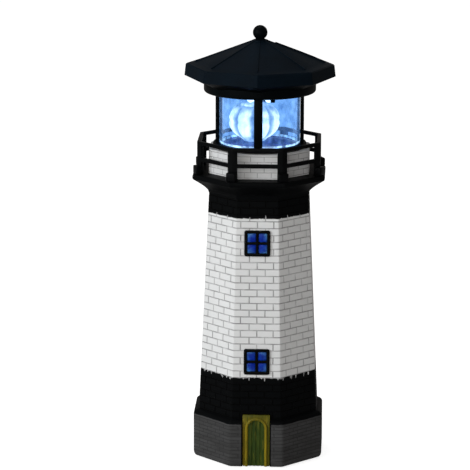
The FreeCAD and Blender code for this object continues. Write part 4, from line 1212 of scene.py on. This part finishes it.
# %% [markdown]
# Lens.  Clear plastic lit from inside looks pale blue and cloudy rather than empty.  The tint comes
# from the glass itself, and a soft uneven glow stands for the light that the moulded wall
# scatters.  Its lowest edge and the rim of its floor pipe the light and shine as a bright ring.

# %% Lens and its floor
def lens_material(name, thin, thick, glow, power, rough):
    """Tinted clear plastic whose tint and glow are cloudy."""
    made, tree, shader = new_material(name, Roughness=rough, IOR=1.25, Specular_IOR_Level=0.3,
                                      Transmission_Weight=1.0, Emission_Color=glow)
    place = stretched(tree, 0.7)
    cloud = noise(tree, place, 210.0, 7.0, Roughness=0.62)
    streak = node(tree, 'TexVoronoi', Vector=place, Scale=330.0).outputs["Distance"]
    level = math_node(tree, 'MULTIPLY', ramp(tree, cloud, 0.38, 0.62, 0.15, 1.15),
                      ramp(tree, streak, 0.0, 0.7, 1.3, 0.5), power)
    feed(tree, shader, Base_Color=blend(tree, ramp(tree, cloud, 0.38, 0.60), thick, thin),
         Emission_Strength=level)
    return made


def floor_colour(tree):
    cloud = ramp(tree, noise(tree, object_place(tree), 420.0, 5.0), 0.42, 0.70)
    return blend(tree, cloud, (0.004, 0.004, 0.10, 1), (0.03, 0.04, 0.40, 1))


LENS_WALL = lens_material("lens_clear", (0.46, 0.66, 0.90, 1), (0.26, 0.46, 0.76, 1),
                          (0.12, 0.27, 0.58, 1), 0.26, 0.07)
LENS_RIM = lens_material("lens_rim", (0.80, 0.90, 1.0, 1), (0.70, 0.85, 1.0, 1),
                         (0.62, 0.82, 1.0, 1), 2.2, 0.12)
LENS_FLOOR = coated("floor_blue", floor_colour, 0.22, drift=0.1, grain=0.1, grain_scale=800.0)
# The blue floor also glows a little: painted light for the globe's light that falls on it.
add_glow(LENS_FLOOR, floor_colour, 0.22)
ON_AXIS = 0.0001


def light_faces(piece, rule):
    """Give the bright rim's material to the faces that the rule accepts."""
    piece.data.materials.append(LENS_RIM)
    for face in piece.data.polygons:
        if rule(face.center):
            face.material_index = 1


def make_lens():
    low, high = [corner[2] for corner in node_box("lens_tube")]
    outline = [(LENS_IN + 0.1, low), (LENS, low), (LENS, high - 0.4), (LENS - 0.3, high),
               (LENS_IN + 0.3, high), (LENS_IN, high - 0.4), (LENS_IN, low + 2.0),
               (LENS_IN, low + 0.85)]
    lens = spun("lens", outline, 128)
    smooth(lens, ROUND_ANGLE)
    dress(lens, LENS_WALL)
    light_faces(lens, lambda centre: centre.xy.length < (LENS_IN + 0.04) * MM
                and centre.z < (low + 1.9) * MM)
    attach(lens, "lamp_frame")
    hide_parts("lens_tube")
    return lens


def make_lens_floor():
    low, high = [corner[2] for corner in node_box("lens_floor")]
    edge = LENS_IN - 0.05
    outline = [(ON_AXIS, low), (edge, low), (edge, high), (edge - 0.9, high),
               (edge - 1.1, high - 0.25), (ON_AXIS, high - 0.25)]
    disc = spun("lens_base", outline, closed=False)
    smooth(disc, ROUND_ANGLE)
    dress(disc, LENS_FLOOR)
    light_faces(disc, lambda centre: centre.xy.length > (edge - 1.0) * MM
                and centre.z > (low + 0.1) * MM)
    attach(disc, "lamp_frame")
    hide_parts("lens_floor")
    return disc


print("lens", size_of(make_lens()), "floor", size_of(make_lens_floor()))

# %% [markdown]
# Beacon globe.  It turns on an axis that is not its own middle, so its light swings round.  It
# could be a plain ball, but the light in the photograph has lobes.  So the globe is spun on the
# tower's axis, and every sixth upright row of points is drawn in, which leaves eight lobes that
# break the light into patches.  Only then is its mesh moved off the axis.

# %% Beacon globe
GLOBE_MIDDLE = -3.4
GLOBE_LOBES = 8
ROWS_PER_LOBE = 6
GROOVE_WIDTH = 0.90
WAIST_WIDTH = 0.955
POLE_RISE = 0.78


def lobe_edges(tree):
    """1 in the grooves between the lobes and near the poles, 0 in the middle of a lobe."""
    split = split_place(tree)
    across = math_node(tree, 'SUBTRACT', split["X"], GLOBE_MIDDLE * MM)
    turn = math_node(tree, 'ARCTAN2', split["Y"], across)
    wave = math_node(tree, 'COSINE', math_node(tree, 'MULTIPLY', turn, float(GLOBE_LOBES)))
    low, high = [corner[2] * MM for corner in node_box("beacon_globe")]
    off_waist = math_node(tree, 'ABSOLUTE',
                          math_node(tree, 'SUBTRACT', split["Z"], 0.5 * (low + high)))
    poles = ramp(tree, off_waist, 0.24 * (high - low), 0.48 * (high - low))
    return math_node(tree, 'MAXIMUM', ramp(tree, wave, 0.0, 1.0), poles)


def globe_material():
    made, tree, shader = new_material("globe_glow", Base_Color=(0.05, 0.07, 0.10, 1), Roughness=0.35)
    cloud = noise(tree, object_place(tree), 120.0, 4.0)
    bright = math_node(tree, 'MULTIPLY', ramp(tree, cloud, 0.34, 0.52, 0.55, 1.0),
                       ramp(tree, lobe_edges(tree), 0.0, 1.0, 1.0, 0.25))
    colour = blend(tree, ramp(tree, bright, 0.14, 0.6), (0.36, 0.62, 0.98, 1), (1.0, 0.985, 0.95, 1))
    feed(tree, shader, Emission_Color=colour, Emission_Strength=ramp(tree, bright, 0.14, 0.9, 0.62, 2.2))
    return made


def globe_outline(low, middle, radius):
    """Flattened ball from its foot to its open top, then back inside it."""
    half = middle - low
    outer = [(0.01, low)]
    for across, up in arc((0, middle), 1.0, -66, math.degrees(math.asin(POLE_RISE)), 14):
        outer.append((radius * across, middle + half * (up - middle)))
    outer[1] = (outer[1][0], low)
    inner = [(max(0.01, across - 1.3), max(low + 1.4, up - 0.25)) for across, up in outer[::-1]]
    return outer + inner


def in_groove(point):
    share = (math.atan2(point.y, point.x) / (2 * math.pi / GLOBE_LOBES)) % 1.0
    return point.xy.length >= 3 * MM and min(share, 1 - share) < 0.05


def make_globe():
    low, high = node_box("beacon_globe")
    half = (high[2] - low[2]) / (1 + POLE_RISE)
    waist = (low[2] + 1.02 * half) * MM
    outline = globe_outline(low[2], low[2] + half, (high[0] - low[0]) / 2)
    globe = spun("globe", outline, ROWS_PER_LOBE * GLOBE_LOBES)
    pick(globe, 'VERT', in_groove)
    widen(GROOVE_WIDTH)
    pick(globe, 'VERT', lambda point: abs(point.z - waist) < 0.9 * MM and point.xy.length > 10 * MM)
    widen(WAIST_WIDTH, (0, 0, waist))
    finish_edit()
    globe.data.transform(Matrix.Translation((GLOBE_MIDDLE * MM, 0, 0)))
    smooth(globe, BEAD_ANGLE)
    dress(globe, globe_material())
    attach(globe, "beacon")
    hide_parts("beacon_globe")
    return globe


print("globe", size_of(make_globe()))

# %% [markdown]
# Cap.  The lower half of the cap holds the works.  Its collar is round and its eaves are
# eight-sided, so the collar is spun and the soffit is drawn as a ring that widens upwards.  The
# slot for the switch and the screw holes could be cut one by one, but one boolean is quicker.

# %% Collar and soffit
COLLAR_IN = 33.2
COLLAR = 35.2
COLLAR_FOOT = node_box("collar_housing")[0][2]
SOFFIT = COLLAR_FOOT + 4.6
EAVE = SOFFIT + 5.2
EAVE_CORNER = 47.5
EAVE_IN = 41.9
INSIDE = CEILING + 2.0
CORNER_FRONT = 0.0
SLOT_HALF = 1.05
SLOT_REACH = (-1.6, 4.6)
SHAFT_HOLE = 2.2
SEAT_GROOVE = (27.9, 29.5)
SCREW_CIRCLE = 31.35
SCREW_HOLE = 1.2
SCREW_TURNS = (90.0, 210.0, 330.0)


def ceiling_cutters():
    """The switch's slot and the screw holes, through the cap's ceiling."""
    low, high = node_box("switch_knob")
    middle = Vector(((low[0] + high[0]) / 2, (low[1] + high[1]) / 2, 0))
    slot = block("switch_slot", (-SLOT_HALF, SLOT_HALF), SLOT_REACH, (CEILING - 1, INSIDE + 1))
    slot.data.transform(Matrix.Rotation(math.atan2(middle.y, middle.x), 4, 'Z'))
    slot.data.transform(Matrix.Translation(middle * MM))
    cutters = [slot]
    for azimuth in SCREW_TURNS:
        out = side_axes(azimuth)[0]
        clear()
        bpy.ops.mesh.primitive_cylinder_add(
            vertices=24, radius=SCREW_HOLE * MM, depth=(INSIDE - CEILING + 2) * MM,
            location=(out * SCREW_CIRCLE + Vector((0, 0, (CEILING + INSIDE) / 2))) * MM)
        cutters.append(settle("screw_hole"))
    return join("holes", cutters)


def make_collar():
    inner, outer = SEAT_GROOVE
    groove = CEILING - 1.5
    outline = ([(COLLAR_IN, COLLAR_FOOT)] + list(arc((COLLAR - 1.6, COLLAR_FOOT + 1.6), 1.6, -90, 0, 8))
               + [(COLLAR, SOFFIT + 1.6), (COLLAR_IN, SOFFIT + 1.6), (COLLAR_IN, INSIDE),
                  (SHAFT_HOLE, INSIDE), (SHAFT_HOLE, CEILING), (inner, CEILING),
                  (inner, groove + 0.3), (inner + 0.3, groove), (outer - 0.3, groove),
                  (outer, groove + 0.3), (outer, CEILING), (COLLAR_IN, CEILING)])
    collar = spun("collar", outline, 120)
    cut_away(collar, ceiling_cutters())
    smooth(collar, ROUND_ANGLE)
    soffit = eight_sided("soffit", [(SOFFIT, COLLAR), (EAVE, EAVE_CORNER), (EAVE, EAVE_IN),
                                    (SOFFIT + 2.4, COLLAR - 1)], CORNER_FRONT)
    soften(soffit, 0.3, 2)
    whole = join("cap_lower", [collar, soffit])
    dress(whole, CAP_BLACK)
    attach(whole, "lamp_cap")
    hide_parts("collar_housing")
    return whole


print("collar", size_of(make_collar()))

# %% [markdown]
# Roof.  A cone would give the slopes but not the eaves, so one eight-sided ring climbs the fascia,
# turns in over the lip and runs up to the top.  The levels after the lip follow a hollow curve, so
# the eaves sweep up into the slope.  Each hip carries a half-round bead that starts at the lip.

# %% Roof
EAVE_TOP = EAVE + 7.7
LIP = EAVE_TOP + 1.0
LIP_CORNER = 41.3
ROOF_TOP = LIP + 13.7
TOP_CORNER = 4.5
ROOF_WALL = 2.0
SWEEP = ((0.35, 2.0), (0.85, -0.3), (1.55, -2.3), (2.45, -4.3))
HIP_BEAD = 0.95
HIP_LIFT = 0.25
HIP_END_WIDTH = 0.4
HIP_START = LIP_CORNER - 0.6
BALL = 4.6
# The roof's black is lighter and more teal than the cap's: a painted sheen for the light its facets
# catch.
ROOF_SHEEN_BLACK = coated("roof_sheen_black", (0.0031, 0.0066, 0.0110, 1), 0.44, specular=0.016, **CAP_COAT)


def roof_profile():
    skin = ROOF_WALL / FLAT
    return ([(EAVE, EAVE_CORNER), (EAVE_TOP - 0.7, EAVE_CORNER - 0.82), (EAVE_TOP, EAVE_CORNER - 1.6)]
            + [(EAVE_TOP + up, LIP_CORNER + out) for up, out in SWEEP]
            + [(ROOF_TOP, TOP_CORNER), (ROOF_TOP - ROOF_WALL, TOP_CORNER),
               (LIP - ROOF_WALL, LIP_CORNER), (EAVE_TOP - ROOF_WALL, EAVE_CORNER - 0.9 - skin),
               (EAVE, EAVE_CORNER - skin)])


def fascia_edge(a, b):
    return (abs(a.z - b.z) > 1 * MM and max(a.z, b.z) < (LIP + 0.4) * MM
            and min(a.xy.length, b.xy.length) > (LIP_CORNER - 1) * MM)


def make_hip_bead():
    run = HIP_START - TOP_CORNER
    rise = ROOF_TOP - LIP - HIP_LIFT
    clear()
    bpy.ops.mesh.primitive_cylinder_add(vertices=20, radius=HIP_BEAD * MM,
                                        depth=math.hypot(run, rise) * MM)
    bead = settle("hip_bead")
    pick(bead, 'FACE', lambda centre, normal: abs(normal.z) > 0.9)
    widen(HIP_END_WIDTH)
    bpy.ops.object.mode_set(mode='OBJECT')
    middle = Vector(((HIP_START + TOP_CORNER) / 2, 0, (LIP + HIP_LIFT + ROOF_TOP) / 2 - 0.1)) * MM
    bead.data.transform(Matrix.Translation(middle) @ Matrix.Rotation(-math.atan2(run, rise), 4, 'Y'))
    smooth(bead, BEAD_ANGLE)
    return bead


def make_roof():
    shell = eight_sided("roof", roof_profile(), CORNER_FRONT)
    bevel_picked(shell, 'EDGE', fascia_edge, 0.45, 3)
    weigh_shading(shell, 25)
    beads = ring_of(make_hip_bead(), SIDES)
    crown = spun("crown", [(1.8, ROOF_TOP - 2.8), (5.2, ROOF_TOP - 0.9), (5.0, ROOF_TOP + 0.1),
                           (4.4, ROOF_TOP + 0.4), (1.8, ROOF_TOP + 0.4)], 48)
    smooth(crown)
    whole = join("roof", [shell, crown] + beads)
    dress(whole, ROOF_SHEEN_BLACK)
    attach(whole, "lamp_cap")
    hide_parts("roof_shell")
    return whole


def make_finial():
    middle = node_box("finial")[1][2] - BALL
    low = ROOF_TOP + 0.4
    outline = ([(ON_AXIS, low - 3.2), (1.6, low - 3.2), (1.6, low), (3.6, low), (3.3, low + 0.35),
                (2.75, low + 0.7)] + list(arc((0, middle), BALL, -52, 89.99, 26)))
    ball = spun("finial_ball", outline, 64, closed=False)
    smooth(ball, 45)
    dress(ball, CAP_BLACK)
    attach(ball, "lamp_cap")
    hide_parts("finial")
    return ball


print("roof", size_of(make_roof()), "finial", size_of(make_finial()))

# %% [markdown]
# Finishes for the pieces that keep their construction shape.  Some lie inside the closed cap or
# under the base and show only from below or when the cap is lifted off.  They still get the
# material that each would really have.

# %% Finishes for the other pieces
PANEL_TURN = math.radians(-22.5)
CONDUCTORS = (("Y", 0.0052, 0.0004), ("X", 0.0016, 0.00012))


def cell_colour(tree):
    """Dark solar cell with pale conductor lines."""
    place = node(tree, 'Mapping', Vector=object_place(tree), Rotation=(0, 0, PANEL_TURN))
    split = node(tree, 'SeparateXYZ', Vector=place.outputs["Vector"]).outputs
    lines = [math_node(tree, 'LESS_THAN', math_node(tree, 'PINGPONG', split[axis], pitch / 2), width / 2)
             for axis, pitch, width in CONDUCTORS]
    dark = blend(tree, noise(tree, object_place(tree), 260.0, 4.0), (0.003, 0.005, 0.02, 1),
                 (0.010, 0.016, 0.055, 1))
    return blend(tree, math_node(tree, 'MAXIMUM', *lines), dark, (0.16, 0.17, 0.19, 1))


finishes = {
    "base_cover": coated("base_black", grey(0.012), 0.5),
    "foot_pads": coated("pad_rubber", grey(0.018), 0.85, grain=0.3),
    "base_screws": coated("screw_steel", grey(0.55), 0.3, metal=1.0, grain=0.05),
    "beacon_motor": coated("motor_steel", grey(0.6), 0.28, metal=1.0, grain=0.05),
    "gearbox": coated("gear_white", grey(0.72, (1, 0.99, 0.95)), 0.45),
    "led_board": coated("board_green", (0.012, 0.10, 0.035, 1), 0.35),
    "battery_cell": coated("cell_wrap", (0.02, 0.17, 0.07, 1), 0.25, coat=0.4),
    "leads": coated("lead_red", (0.30, 0.012, 0.010, 1), 0.45),
    "leds": coated("led_white", grey(0.9), 0.15, grain=0.0),
    "beacon_reflector": coated("reflector_mirror", grey(0.85), 0.08, metal=1.0, grain=0.0),
    "solar_cell": coated("solar_blue", cell_colour, 0.14, drift=0.05, grain=0.0, coat=0.8),
    "solar_bezel": CAP_BLACK,
    "switch_knob": CAP_BLACK,
}
same = {"seat_gasket": "foot_pads", "cap_screws": "base_screws", "motor_screws": "base_screws",
        "motor_strap": "base_cover", "battery_holder": "base_cover", "switch_body": "base_cover",
        "beacon_shaft": "beacon_motor", "battery_contacts": "beacon_motor",
        "control_board": "led_board"}
add_glow(finishes["leds"], (0.9, 0.96, 1.0, 1), 3.0)
for name, made in finishes.items():
    dress_node(name, made)
for name, like in same.items():
    dress_node(name, finishes[like])
print("finishes set on", len(finishes) + len(same), "pieces")
